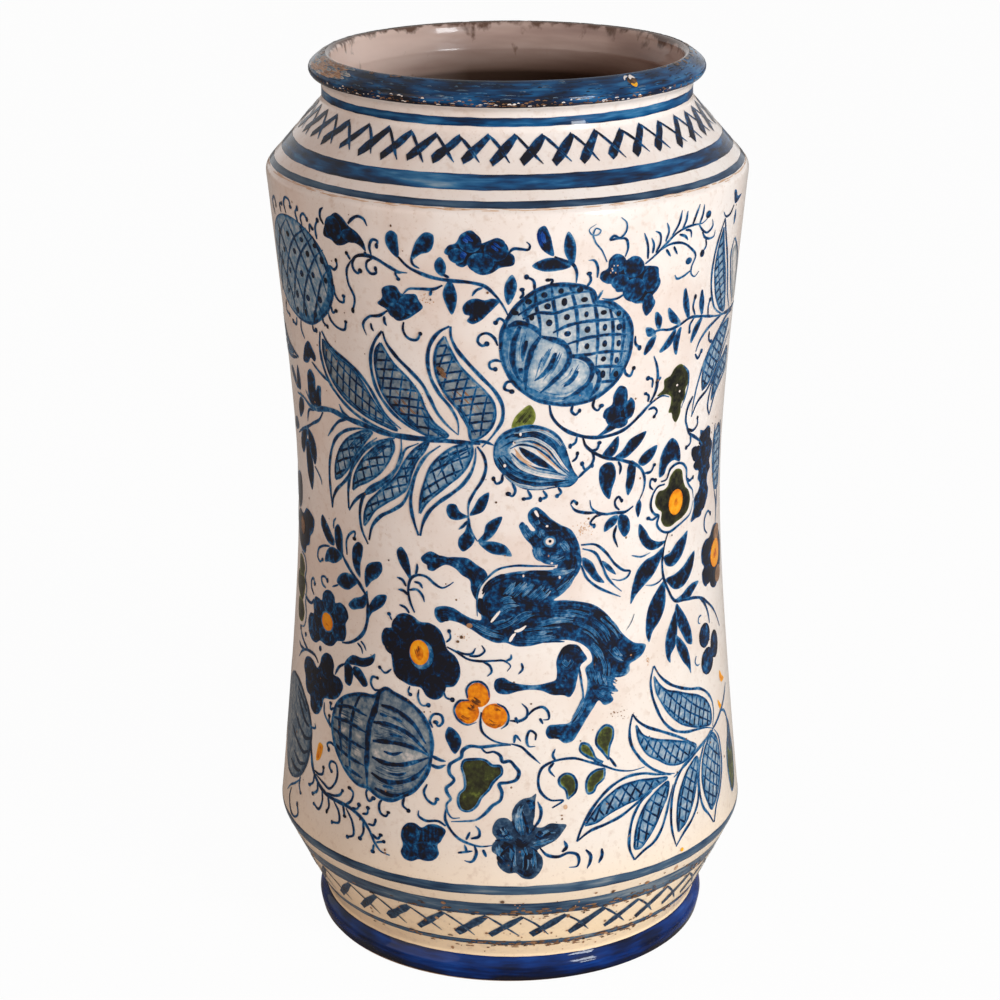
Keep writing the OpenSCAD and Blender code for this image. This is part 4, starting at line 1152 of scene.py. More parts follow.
def left_edge(s):
    """Leaves, flowers and a fruit that run round the left edge."""
    s.fills("-82 206.5, -81 210, -79.5 212.5, -76.5 214.5, -74 212.3, -72.5 209.5, -73.5 208.3, -76 209,"
            "-78 207, -80 206.3; -80 193, -80.5 199, -79.5 203.5, -77 205, -74.7 203, -74.5 198.4,"
            "-73.3 200.3, -71.3 200.5, -71.5 197, -72.4 193, -75 192.4; -90.5 195, -91 199, -88.7 203.3,"
            "-87.5 200, -88 195; -86 192, -89 192.3, -91.5 190, -92.5 187.5, -91.5 184.8, -88.5 186.5,"
            "-86 189.5; -91 194.5, -95 196, -99 200, -97 201, -93.5 199; -95 181, -97 183, -101 182,"
            "-104 179, -98 178.5", 0.86)
    s.fills("-84 182.5, -89 181.5, -92.5 178, -93 174, -91 172.5, -88.5 174.5, -86.5 178; -84 183,"
            "-80.5 182, -78 178.5, -78 174.5, -80 171.5, -82 174, -84 178; -85.5 179, -87.5 174,"
            "-87.5 169, -85.5 164, -83.5 161.8, -81.8 165, -81.2 170, -82.5 175, -84.5 179", 0.86)
    s.lines("-80 171, -77.5 169.5, -75.5 167.5, -75 166; -79.5 193, -82.8 196.5; -88.5 194, -88 192", 0.7,
            0.58)
    s.fill("-97 163, -95.5 158, -97 153, -103 150, -107 156, -104 162", 0.9)
    s.frond("-86.5 206.5, -94 208, -103 212, -109 218; -88 206, -97 204.5, -105 205, -111 208",
            "-92 206.6, -99 208.6, -106 212.5, -109 210, -104 206.6, -98 205.6", (60, 130))
    s.fill("-94 150.5, -90 153.5, -86 153.5, -82 151.5, -83 147.5, -86 144.5, -86.5 142, -90 140,"
           "-91 137.5, -95 137, -101 139, -106 146, -101 150", 0.92)
    s.oval(-95, 146, 3.2, 3, 0.6, CLAY, 3)
    s.fills("-101 128, -94 129.5, -90.5 127.5, -91 123, -93 120, -98 121, -102 124; -99 134.4,"
            "-94 134.6, -91.4 132, -92.4 129, -98 128.4; -98 119.6, -92.4 120, -89.8 116.6, -91 113.4,"
            "-97 113", 0.62, pigment=GREEN)
    s.line("-96 136.4, -91 135.4, -89.4 132, -90.4 129.4, -88.4 126, -89 121.6, -87.6 117, -88.8 112.6,"
           "-94 110.8", 0.8, 0.6)
    s.fill("-78 80, -80 84.5, -85 89, -91 92, -98 92.5, -106 88, -110 78, -106 66, -98 57, -92 57,"
           "-86 59.5, -81 64.5, -78.5 71", 0.52, SLATE, 0, 0.3)
    s.lines("-79 80, -82.6 80.6, -86 83, -91 86.6; -78.6 76, -82 75, -86 76.4, -94 80; -79 71.4,"
            "-82.6 69.6, -87 70.4, -96 74; -81 66, -85 64.6, -92 66.4; -84.4 62, -88 61, -95 62;"
            "-82 84.4, -86 87, -92 89.6", 1.3, 1.0, pigment=SLATE)
    s.line("-98 92.5, -91 92, -85 89, -80 84.5, -78 80, -78.5 71, -81 64.5, -86 59.5, -92 57, -98 57",
           1.3, 0.84, SLATE)
    s.lines("-84 59, -88 56, -93 53, -97 49.5; -79.5 80.8, -77.5 80.5, -75 81.5, -75.6 82.6; -70.3 92,"
            "-70 88.5, -67.5 86, -66 84.5", 0.8, 0.64)
    s.curls("-92 52.5, -93.5 48.5, -91 44.5, -87 44, -84 46.5, -85.2 49.4; -84 60, -84.5 56.5, -83 54.5")


def left_sprig(s):
    """A leafy sprig left of the goat, with two blue flowers under it."""
    s.lines("-50.8 134, -53.5 137, -57 139.8, -60 142.3, -62.5 144.8, -63.5 147; -50.8 135, -50.2 130,"
            "-50.5 125.5, -52 121.5, -55 118.5, -59 116.3, -62 115.5", 1.3, 0.76)
    s.fills("-67.5 147.5, -70.5 147, -74.5 149.5, -76.7 152.5, -75.5 155.7, -72 153.5, -69 150.5,"
            "-67.4 148.6; -63 145, -66 146.5, -67.5 150.5, -67.3 153.5, -65.3 155.2, -63.3 153,"
            "-62.8 149; -63 144.5, -66 146.3, -69.5 146.3, -72.5 144, -73.5 140, -71 140.7, -68 141,"
            "-65 142.5; -54 139.8, -57 142.5, -58 146.5, -57.5 149.5, -54.5 151.8, -53 151, -53 148,"
            "-54 144; -54.8 138.2, -58 139.8, -61.5 139.7, -64.5 138, -66 135.4, -63 134, -59.5 134.3,"
            "-57 136; -50.8 136.2, -53 133.8, -57 132, -59.3 129, -58 128.2, -54.5 129, -52 130;"
            "-51 137.2, -52 142, -51 144.8, -47.5 146.7, -45 147, -44.3 145, -46 141.8, -49 139.5;"
            "-50 126.5, -50 130.5, -48.5 133.5, -46 135.8, -42.5 136.3, -43.5 133, -46 130.8, -48.5 129",
            0.84)
    s.curls("-70.5 146.2, -75 145, -78.5 142.5, -78.8 140, -77 139, -75.2 140.2; -60.5 146, -60.7 151,"
            "-59 153.5, -56.5 154.8, -56.8 152.4; -72.5 131.2, -75 132, -75.7 133.8, -73.5 134.8,"
            "-71.6 134; -81 126, -83.5 128, -83.5 130.5, -82 131.5, -80.8 130")
    s.lines("-68 153, -67.8 155.5, -66.5 157; -53 118.5, -51.5 117.5, -50.5 115.8; -54.5 117.5,"
            "-52.5 116, -52 114.3; -65 134.5, -68.5 132.8", 0.75, 0.66)
    s.fill("-84.5 113, -85.3 116, -83.5 119, -80.7 119.8, -81.3 123, -80 125.8, -77 126.2, -75 126.2,"
           "-74.5 128.5, -72 130.7, -69 131, -67 129.6, -66.6 128, -63.5 128.8, -60.5 127.6,"
           "-59.2 124.8, -60.5 122.3, -60 119.5, -61 116.3, -64.5 115.2, -67 112.8, -71 111.8, -75 112,"
           "-78 110.3, -82 110.5", 0.9)
    s.petals("-81.4 114.6 3.4 3.8; -77 122.6 3.4 3; -70.4 126.6 3.6 3.6; -63.6 124.6 3.4 3.6;"
             "-64.4 118.4 3.4 3; -72 115 4 2.6")
    s.oval(-70.8, 120, 4.1, 3.6, 0.46, level=3, rim=0.1)
    s.oval(-70.8, 120, 3.4, 3.0, 0.36, ORANGE, 3.4)
    s.oval(-70.6, 119.8, 1.3, 1.2, 0.75, ORANGE, 4, -0.2)
    s.line("-81 124.5, -82.5 122.8, -86 122.3, -90 123.3", 1.1, 0.76)
    s.fill("-87 99, -86 102, -82.5 103.8, -79 103.5, -76 102.2, -74.5 104, -73.5 107, -70.5 109.3,"
           "-67.5 109.1, -65.8 106.5, -65.8 103.4, -62.5 103, -60.6 101, -61.5 98, -64 95.2, -67.5 94,"
           "-70.5 93.2, -71.5 90, -74 86.5, -76.5 85.8, -79.5 87.5, -80.3 90.8, -82.5 91.2, -84.5 93.5,"
           "-85 95.8", 0.92)
    s.petals("-82 98.6 3.6 4; -70 104.4 3.6 4; -65.4 99 3.6 3.6; -76 91.4 3.2 4.4", 0.94)
    s.lines("-75.5 104, -77.5 105.5, -82 105.8, -86 105, -90 103, -93 100; -84.5 105.7, -88.5 107,"
            "-91.5 108.5, -93 110; -88 104.5, -92 104.3, -94 105.3; -60 108.8, -63 106.8, -65 103.5", 1.0,
            0.74)
    s.dots("-93 110.4, -87 110, -74.6 109.4", 1.0, 0.78)
    s.fills("-60 109.3, -56.5 112.8, -52 113, -48.5 114.5, -46.7 115.8, -47.3 112.5, -50.5 110.3,"
            "-55 109.6; -60 109.5, -60.2 105.5, -59.5 102.3, -57.5 101.8, -56 105, -56.5 108.5; -56 109,"
            "-53.5 109.3, -51 107.5, -49.5 104, -50.8 103.3, -53.8 105, -56 106.5", 0.86)


def goat(s):
    """The running goat: flat shapes, shaggy dark and thin strokes over them, an eye and horns."""
    s.fill("8.7 169.8, 11.2 168.2, 13.5 165.8, 17 163.3, 20.5 161.3, 22.8 157.5, 23.9 153, 23.4 149.4,"
           "21.5 149.6, 18 150.2, 14.5 150, 11 151, 8.5 153.5, 7.3 157, 5.5 159, 3.8 161.8, 3.2 163.8,"
           "4.2 165, 5.8 163.5, 7.8 161.7, 8.5 161.9, 7.6 163.4, 6.3 165.3, 6.2 167.8", 0.72, rim=-0.24)
    s.fill("16.4 150.6, 20 152, 23.7 152.6, 23.6 147.6, 21 144.6, 15 146, 15.6 148.6", 0.74, level=1.4,
           rim=-0.1)
    s.fill("23.3 148.6, 22.3 146, 20 142.5, 17 139.8, 14.6 138.4, 18.5 138, 23.5 137, 28.5 135.2,"
           "32.5 132, 36 127.7, 39.5 123, 43 120, 48 117.7, 46.5 115.3, 43.5 113.8, 41.2 113, 41 110.8,"
           "39 109.5, 36 110, 34.5 108, 36.3 104.8, 33.5 105, 34.5 102.3, 31 101.2, 29.3 103,"
           "27.3 100.8, 24.5 97, 21.8 93, 20 90.7, 17.5 90.2, 15 92, 12.3 92.3, 11.3 94.3, 12.3 96.6,"
           "15 96.8, 19 97, 21.5 100, 23.8 103.5, 25.2 107.5, 25.4 111, 24.9 114.5, 27.3 116.7, 27 119,"
           "23.7 122.8, 19 124.6, 12 124.5, 6 123.5, 2 123.6, -1.3 124.8, -4 124.7, -8 126.2, -12.5 129,"
           "-17 131, -20 131.3, -22.8 130.3, -24.7 132.5, -24.6 135, -22 136, -18.5 135.7, -15 133.8,"
           "-11 132.3, -9.4 132.2, -9.6 136, -8.6 140, -6 144.4, -2.5 147.4, 2 148.4, 8 148.7, 14 148.5,"
           "19 148.9", 0.7, rim=-0.24)
    s.fill("-7 146.4, -7.5 148.3, -10.5 150.5, -13.5 152.5, -17.5 152.7, -22 152.4, -26.5 153.7,"
           "-28.5 152.5, -29.7 151, -28.8 149.6, -27.5 149, -27.3 147.7, -25.5 147.2, -23.5 148.5,"
           "-21 149.8, -18 149, -15.5 146.8, -13 145.3, -12.5 142, -11 139, -10.4 138.4, -10.2 141,"
           "-8.9 144", 0.8, rim=-0.2)
    s.fill("25.6 117.6, 24.6 119.6, 22.3 122.3, 19.5 123.2, 16.8 121.5, 15.2 118, 15.3 114, 15 112,"
           "12 111, 8 110.5, 4 110.9, 0 112, -2 113.2, -4.5 112.5, -5 110, -4 108.2, -1 107.6,"
           "2.5 108.5, 6 109, 10 108.5, 14 106.7, 17.5 106.3, 19.3 105.5, 20.7 107, 21.9 110.5,"
           "22.6 113.5, 23.6 116", 0.74, rim=-0.18)
    s.hairs("7.8 168, 10.4 165.4, 14 162.8, 18 160.2; 13 164, 18 160.6, 20.8 156.4, 21.8 151.6;"
            "21.6 155, 21.4 149, 18.4 144, 13.6 140.4; -8.4 140.6, -6 144, -1 146.6, 5 147.2; 3 147,"
            "9 147, 15 146.4, 20 146.4; -8.6 139.4, -8.8 136, -7.4 133.2; -7.6 138, -7.4 135, -6 132.6;"
            "-3.4 142, 1 140.8, 5 138.8, 9.6 137; 3 139.4, 8 136.8, 14 135.8, 20 135.4; 16 136,"
            "22 135.4, 28 133.4, 32 130.6; 27 133.6, 32 129.8, 36 125, 39 121.4; 11 141, 14.4 141.6,"
            "17 143.4", 9, 1.15, 1.1, 1.0)
    s.hairs("-26.6 151.6, -20 151.4, -15 150; -15.6 150.2, -11.6 147.6, -10 143; -23.6 133.4, -21 134,"
            "-18.4 133.6; -22.6 132, -19 132.2; 24 128, 27.4 125.4, 29 123; 30.6 122, 33.6 119,"
            "35 115.6; 28.4 118, 28.8 114.8, 27.6 112.4; 33 128.6, 35 126, 36.4 123.6; 41 116.4,"
            "44 116.4, 46.6 117.2; 36 112.4, 38.6 111, 40.4 111.2; 16.8 118.6, 18.4 121.6, 21.6 121.6,"
            "24.4 118.6; 17.4 113, 19 111.6; 13.4 108.2, 17 107.6, 20 107; -3.6 110.4, 0 110, 5 109.8;"
            "12.4 94.4, 16 93, 19.4 93; 20 96.6, 23 100, 25.8 104; 27 108, 28.4 105.4; 7 160, 8 158,"
            "9.6 156.4; 10.4 155.4, 14 155, 18 154; 12 160.8, 15 161.2, 17.6 159; 4 132.8, 9 133.6,"
            "14 133.2; 14 131, 20 130.4, 26 127.6", 5, 0.9, 0.9, 0.98)
    s.hairs("-1.6 140.4, 1 143, 2.6 145.6; 1 140.6, 3.6 143, 5.6 145.6; 3.8 140.4, 6.4 142.8, 8.4 145;"
            "6.6 139.6, 9.4 142, 11.6 144.6; 9.4 138.6, 12 140.6, 14 142.6; -3 138.6, 0 139.4, 3 138.6;"
            "-4 134, 0 136.6, 4 136.4; -6 130, -1 131.6, 3 134; 1 131, 5 133.6, 9 134.4; -13 131.4,"
            "-7 128.4, -1 127; 2 126, 9 126, 16 126.6; 4 128, 11 128.4, 18 128.4; 8 130.4, 15 131.6,"
            "22 131; 14 134, 21 133.2, 27 131; 22 129.4, 27 126.6, 31 121.6; 27 130.6, 31 127, 34 121.6;"
            "31.4 131, 35.6 126.6, 39 121; 27 122, 29.6 119, 31 115; 31 118, 32.4 114, 32 109.6; 34 120,"
            "37.4 116.4, 40 115; 26.4 115, 27.4 111, 28.4 107.6; 29.4 113, 30.6 109.4, 31.6 106.6;"
            "17 117.6, 18.6 116, 20.6 118.6; 8.6 156, 9.4 153.6, 11.4 151.8; 12.6 152.4, 16 151.8,"
            "18.8 153; 17.4 157.6, 19 155.4, 19.4 152.6; 10 161.8, 11 159.6; 24.6 104.4, 22 99.6,"
            "19.4 96.8; 14.4 147.8, 19 147.8, 22.4 149; 16 141, 19.6 143.4, 22 146.6; 4.6 163.4, 6 161,"
            "7.6 158.8; 8.4 165, 9.4 163", 8, 1.1, 0.55, 0.6, 3)
    s.hairs("29.4 108, 32.4 107.4, 36 105.8; 29 106.4, 32 105, 35.2 103.4; 28.6 105, 30.6 103.4,"
            "32.8 101.8; 34 110.6, 37 110, 40.6 109.8; 31 110.4, 34 109.4, 36.8 107.6", 5, 0.9, 0.6, 0.74,
            3)
    s.lines("22.6 116.4, 23.4 110, 23.9 105.5, 23.4 101.5; 11 124.6, 15 124.6, 18 124.2; 15 149.6,"
            "8 150.1, 1 150.3, -4 149, -7 146.4, -9.7 143, -10.6 138, -10.4 133.4", 0.75, 0.66)
    s.lines("-6 131.6, -4.6 133.4, -3 135.4; 0 125.2, 1.2 127.2, 2 128; 1.6 128.6, 3.4 129, 5.4 130.4;"
            "8.4 168.6, 9.6 166.4", 0.85, 0.1, pigment=CREAM, level=5)
    s.oval(13.3, 158, 2.1, 1.9, 0.34, level=3.6, rim=0.2)
    s.oval(13.3, 158, 1.35, 1.15, 0.1, CREAM, 4.2, 0.0)
    s.dots("13.4 158.1", 0.55, 1.0, 6)
    s.dots("4.6 147, 16.6 145.8, 12.4 163.2, 14 150.7", 0.4, 0.1, 6, CREAM)
    s.fills("24.5 151.5, 27.5 150, 30 145.5, 32.3 142, 29.5 142.8, 26.5 146, 24.5 149; 31.5 149.5,"
            "33 146.5, 36.8 144, 34.6 147.4", 0.86)
    s.lines("24 155.8, 29 155.3, 33 152, 36.5 147.5, 40 144.8, 42.3 144, 41.5 142.7, 38.5 141.8,"
            "35 142.8; 24.5 154.5, 29 152.5, 31.5 148, 33.5 143.5, 36 140.5, 38.8 138; 24 149, 26 144.5,"
            "30 140.8, 34 138.5, 38.3 136.3", 0.9, 0.68)
    s.lines("-31.8 132.5, -33.5 136, -34.2 140, -33 144, -30.5 145.3, -27.5 145, -25 143.2, -22 142,"
            "-20 143, -18.3 144.3; -35 140.8, -36.5 142.8, -38.5 143.3; -34.3 138, -36 139.2, -38 139.3;"
            "-32 142.8, -30 142.5, -29 141; -33.8 139.8, -31 140.3, -29 138.5, -28.3 136.5; -33.7 132,"
            "-35.3 133.7, -37.5 134.2; -31.5 145.2, -31 147.5, -31 149", 0.95, 0.72)
    s.fill("-33.3 143, -35.5 145.5, -38 149, -38.5 152.5, -37 153.8, -35 152, -33.7 148.5, -33.3 145.5", 0.84)


def rosette(s):
    """The flower with an orange middle under the goat, and three orange berries beside it."""
    s.fill("-39 127.5, -38.8 130, -36 131.7, -32.5 131.3, -29.8 129.8, -26.5 129.8, -23 128,"
           "-21.2 124.5, -20.5 122, -17.5 119.5, -16 116, -16.3 112, -18 109.5, -21 108.5, -21.5 106,"
           "-24 104.3, -27 105, -29 107.5, -33 107.8, -37 109.5, -39.5 112.5, -40 115.5, -41 118.3,"
           "-43.5 119.5, -44.3 122.5, -43 125.3, -40.5 126", 0.88)
    s.petals("-36 126.6 4.4 4; -27 125.6 4.8 3.8; -40 121 3.4 4; -34.4 112.6 5 4; -21 115.6 4.2 5.4;"
             "-24.4 109 3.8 4", 0.94)
    s.oval(-29.2, 118.9, 4.3, 5.0, 0.46, level=3, rim=0.1)
    s.oval(-29.9, 119.4, 3.4, 4.2, 0.3, ORANGE, 3.4)
    s.oval(-29.8, 119.2, 1.4, 2.4, 0.66, ORANGE, 4, -0.2)
    s.hairs("-31 121.4, -29.6 117", 4, 0.9, 0.5, 0.85, 4.4, ORANGE)
    s.curls("-40.3 128.5, -41.4 130.4; -40 112, -42.5 110.2, -44.6 111.6; -33 107.6, -33.5 105.5,"
            "-32.8 104.8; -29.8 107, -30 104, -28.5 101.8, -26.4 102.2; -21.3 107.5, -20.5 105.5,"
            "-18.4 105; -20.7 124, -19.3 125.5, -19.7 127.8", 0.7, 0.68, 0.75)
    s.lines("-20.5 122.5, -17 121, -13.5 119, -9 118.5, -5 118.8, -1.5 118.7, 0.3 117, -0.8 115.3;"
            "-8.5 118.3, -6.3 117, -5.8 115, -7.2 113.5; -17 121.5, -15 120.7, -12 121, -11 122.8;"
            "-13 120, -9.5 120.5, -8 122, -9 123.8; -1 118.8, 0.5 119.7, 0.5 121; 3.8 118, 4.2 116,"
            "2.8 114.3", 0.8, 0.7)
    s.oval(-10, 107.2, 3.8, 4.1, 0.5, ORANGE, 1)
    s.oval(-13.7, 101.3, 4.0, 4.0, 0.54, ORANGE, 2)
    s.oval(-4.8, 100.4, 4.1, 4.1, 0.5, ORANGE, 2)
    s.hairs("-12 105.6, -9.6 104.2, -7.6 105; -15.6 99.6, -13.4 98.6, -11.4 99.8; -6.8 98.8, -4.6 97.6,"
            "-2.4 98.8; -13 103.4, -11.6 102.6, -10.4 103.2; -3 102, -5 103, -6.6 102", 6, 1.2, 0.5, 0.84,
            3, ORANGE)
    s.lines("-13.5 106, -13.8 109, -12 111.3, -9 111.5, -7 109.5, -6.5 106.5; -13 105.3, -16 104.8,"
            "-17.8 102, -16.5 98.5, -13.5 97, -10.5 98; -4 104.5, -1.5 103, -0.4 100.5, -1 97.5,"
            "-2.8 96; -9 101.5, -9.3 98.5, -8.7 95, -6 92.5, -3 91.3, 0.5 91", 0.75, 0.68, level=4)
    s.lines("0 98.8, 3.5 98.8, 5.3 100, 5.5 102.5, 3.8 104.5; 5.5 100.3, 8 102.5, 10.5 103, 12.3 101,"
            "12.3 98.8, 10.5 98.7; 9.5 99.3, 10.5 97.3; 1.8 100, 2.5 97.8", 0.9, 0.72)


def low_pomegranate(s):
    """The fruit low on the left, half net and half leaf, and the curly stem under it."""
    rim = ("-65 89, -63.5 93.5, -60 97, -55.5 99.5, -50.5 100.8, -46 101.6, -44 103.5, -42 105,"
           "-38.5 104, -33 102, -29 99, -26.5 95.5, -25 90.5, -25.2 85, -26.5 79, -29.5 74, -34 70,"
           "-39 67.3, -43.5 67.5, -48 69.5, -51.5 69.3, -56 71.5, -60.5 75.5, -63.5 80, -65.2 85")
    s.fill(rim, 0.46, SLATE, 0, 0.24)
    s.fills("-46.5 85.5, -47.5 83, -46.5 80.5, -42 79.7, -36 80.2, -30 82.5, -26 84.5, -30 86.4,"
            "-36 87.2, -42 87; -45 93.6, -39 94.4, -33 92.6, -29 89, -34 89.4, -40 91, -45 91; -44 78,"
            "-40 76, -35 77, -31 79.4, -36 79, -41 78.4; -62 92, -58 93.4, -57.4 90.4, -62.4 89.8;"
            "-54.6 92.4, -50.4 92, -50 89.6, -54.8 89.8; -61.6 87.4, -57.6 87.6, -57.4 85, -61.6 85.4;"
            "-54.6 87.4, -50.4 86.6, -50.4 84, -54.6 84.6; -54.4 81.8, -50.4 81, -50.4 78.4, -54.4 79",
            0.26, pigment=SLATE, level=0.5, rim=0.16)
    s.hairs("-44 98, -37 96.6, -30 92.4; -45 92, -38 91.6, -30 88; -45 77.6, -38 76.8, -29 80.6; -44 72,"
            "-37 71.4, -30 75; -46 88.4, -36 88.6, -28 86.6; -62 92, -56 91.6, -50 90.6; -62 83, -56 81,"
            "-50 79.6", 9, 1.6, 0.42, 0.6, 1.2, SLATE)
    s.contour(rim, 1.3, 0.7)
    s.line("-44.5 103.4, -46 97, -48 91, -48.5 84, -48.5 77, -48 70", 2.2, 0.76)
    s.lines("-52.5 100, -55 94, -56 88, -56 83, -56 77, -55 72; -60.5 96, -61.5 90, -61 84, -59.5 77;"
            "-63.4 93, -57 94.8, -49 93.8; -64.4 89, -57 89.4, -49 88; -64.5 85, -58 83.6, -49.5 82.4;"
            "-63.4 80, -57 77.8, -49.5 76.6; -58 74, -50 72", 1.3, 0.8)
    s.lines("-43.5 99, -38 98.5, -32 95.5, -27 89; -46.5 92.5, -40 93, -34 91.8, -28.5 88, -26 85.5;"
            "-46.5 86, -41 87, -34 87.3, -28 86, -26 85; -46.5 80.5, -42 79.7, -36 80.2, -30 82.5,"
            "-26 84.5; -46.5 75, -42 73.5, -36 74.2, -30 77.5, -26.5 82; -45 70, -38 69.2, -31 72.2,"
            "-27 78", 1.5, 0.8)
    s.lines("-42 83.5, -38.5 83.3, -35 84.8; -39.5 76.5, -36 76.8, -33.5 78; -40 89.8, -35 90; -39 96,"
            "-35.4 95; -44 96, -41 95.6; -42 71.6, -37.6 71.8", 1.0, 0.7)
    s.lines("-25.3 82.3, -23 81.6, -20.3 82.8; -24.8 85.2, -22 84.2, -20.3 84", 1.1, 0.66)
    s.curls("-47 70, -48.3 67.5, -47 65, -45.3 66.4; -41.5 67.5, -43 65, -42.3 62, -40.3 61.5, -39.5 63;"
            "-34 69.6, -34.3 66.5, -32.4 65.2; -26.3 75.4, -27.3 72.5, -26 70, -23.8 69, -22.9 70.8;"
            "-24.8 94.8, -25.8 97, -24.3 99.5, -22 99.3, -21.5 97, -23 95.6, -23.8 96.8; -64.5 92,"
            "-66.5 91, -66.6 93; -44 104, -46.5 103.6, -48 105.5, -47.3 107.8, -45.4 107.8; -63.3 79,"
            "-65.5 79.5, -67.4 78.3, -66.4 76.8; -65.4 85, -67 86.6, -67 88.4")
    s.line("-78.5 80, -77 72.5, -75 66.5, -71 62.8, -66 60.8, -60 60.5, -55 60.2, -50 58.3, -46.5 55,"
           "-44 51, -42 49, -38.5 48.3", 1.35, 0.72)
    s.curls("-74 66.5, -71.5 66.2, -69 67.3, -68.8 69.5; -73 65.5, -68 64, -65.5 63.3, -62.5 66,"
            "-61.3 70, -62.5 73.2, -65 73, -65.6 71, -64.4 69.8; -66 61.5, -62 62, -59.5 63.3, -58.5 65;"
            "-57 60.5, -54.3 63, -53.8 66, -55.4 67; -54 60.5, -51.5 61, -51 62.5; -74 65, -74.5 62,"
            "-76.8 60.2; -72 63, -71.5 60.5, -74.3 58; -69 62, -68.5 57.5, -70.5 54, -73.2 54.8;"
            "-65.5 60.5, -64.8 57, -65.8 55; -62.5 60, -59.8 57, -59.5 53.5, -62.8 52.3; -58 60.3,"
            "-57 56.5; -56.5 59.5, -53.5 55.5, -53 51, -55.3 49.8; -49 57, -48.8 53.5, -50 51;"
            "-49.5 59.8, -47.5 60.5, -47.3 62.5; -47 57, -44.8 57.2, -44.2 58.9; -45.5 54, -43 53,"
            "-42 54.5; -43.5 51.5, -40.8 52.5; -44.5 50.5, -44.8 48")
    s.fill("-73.3 70.3, -73.2 74, -71.8 77.3, -70 77, -70.3 73.5, -71.8 71", 0.4, ORANGE)


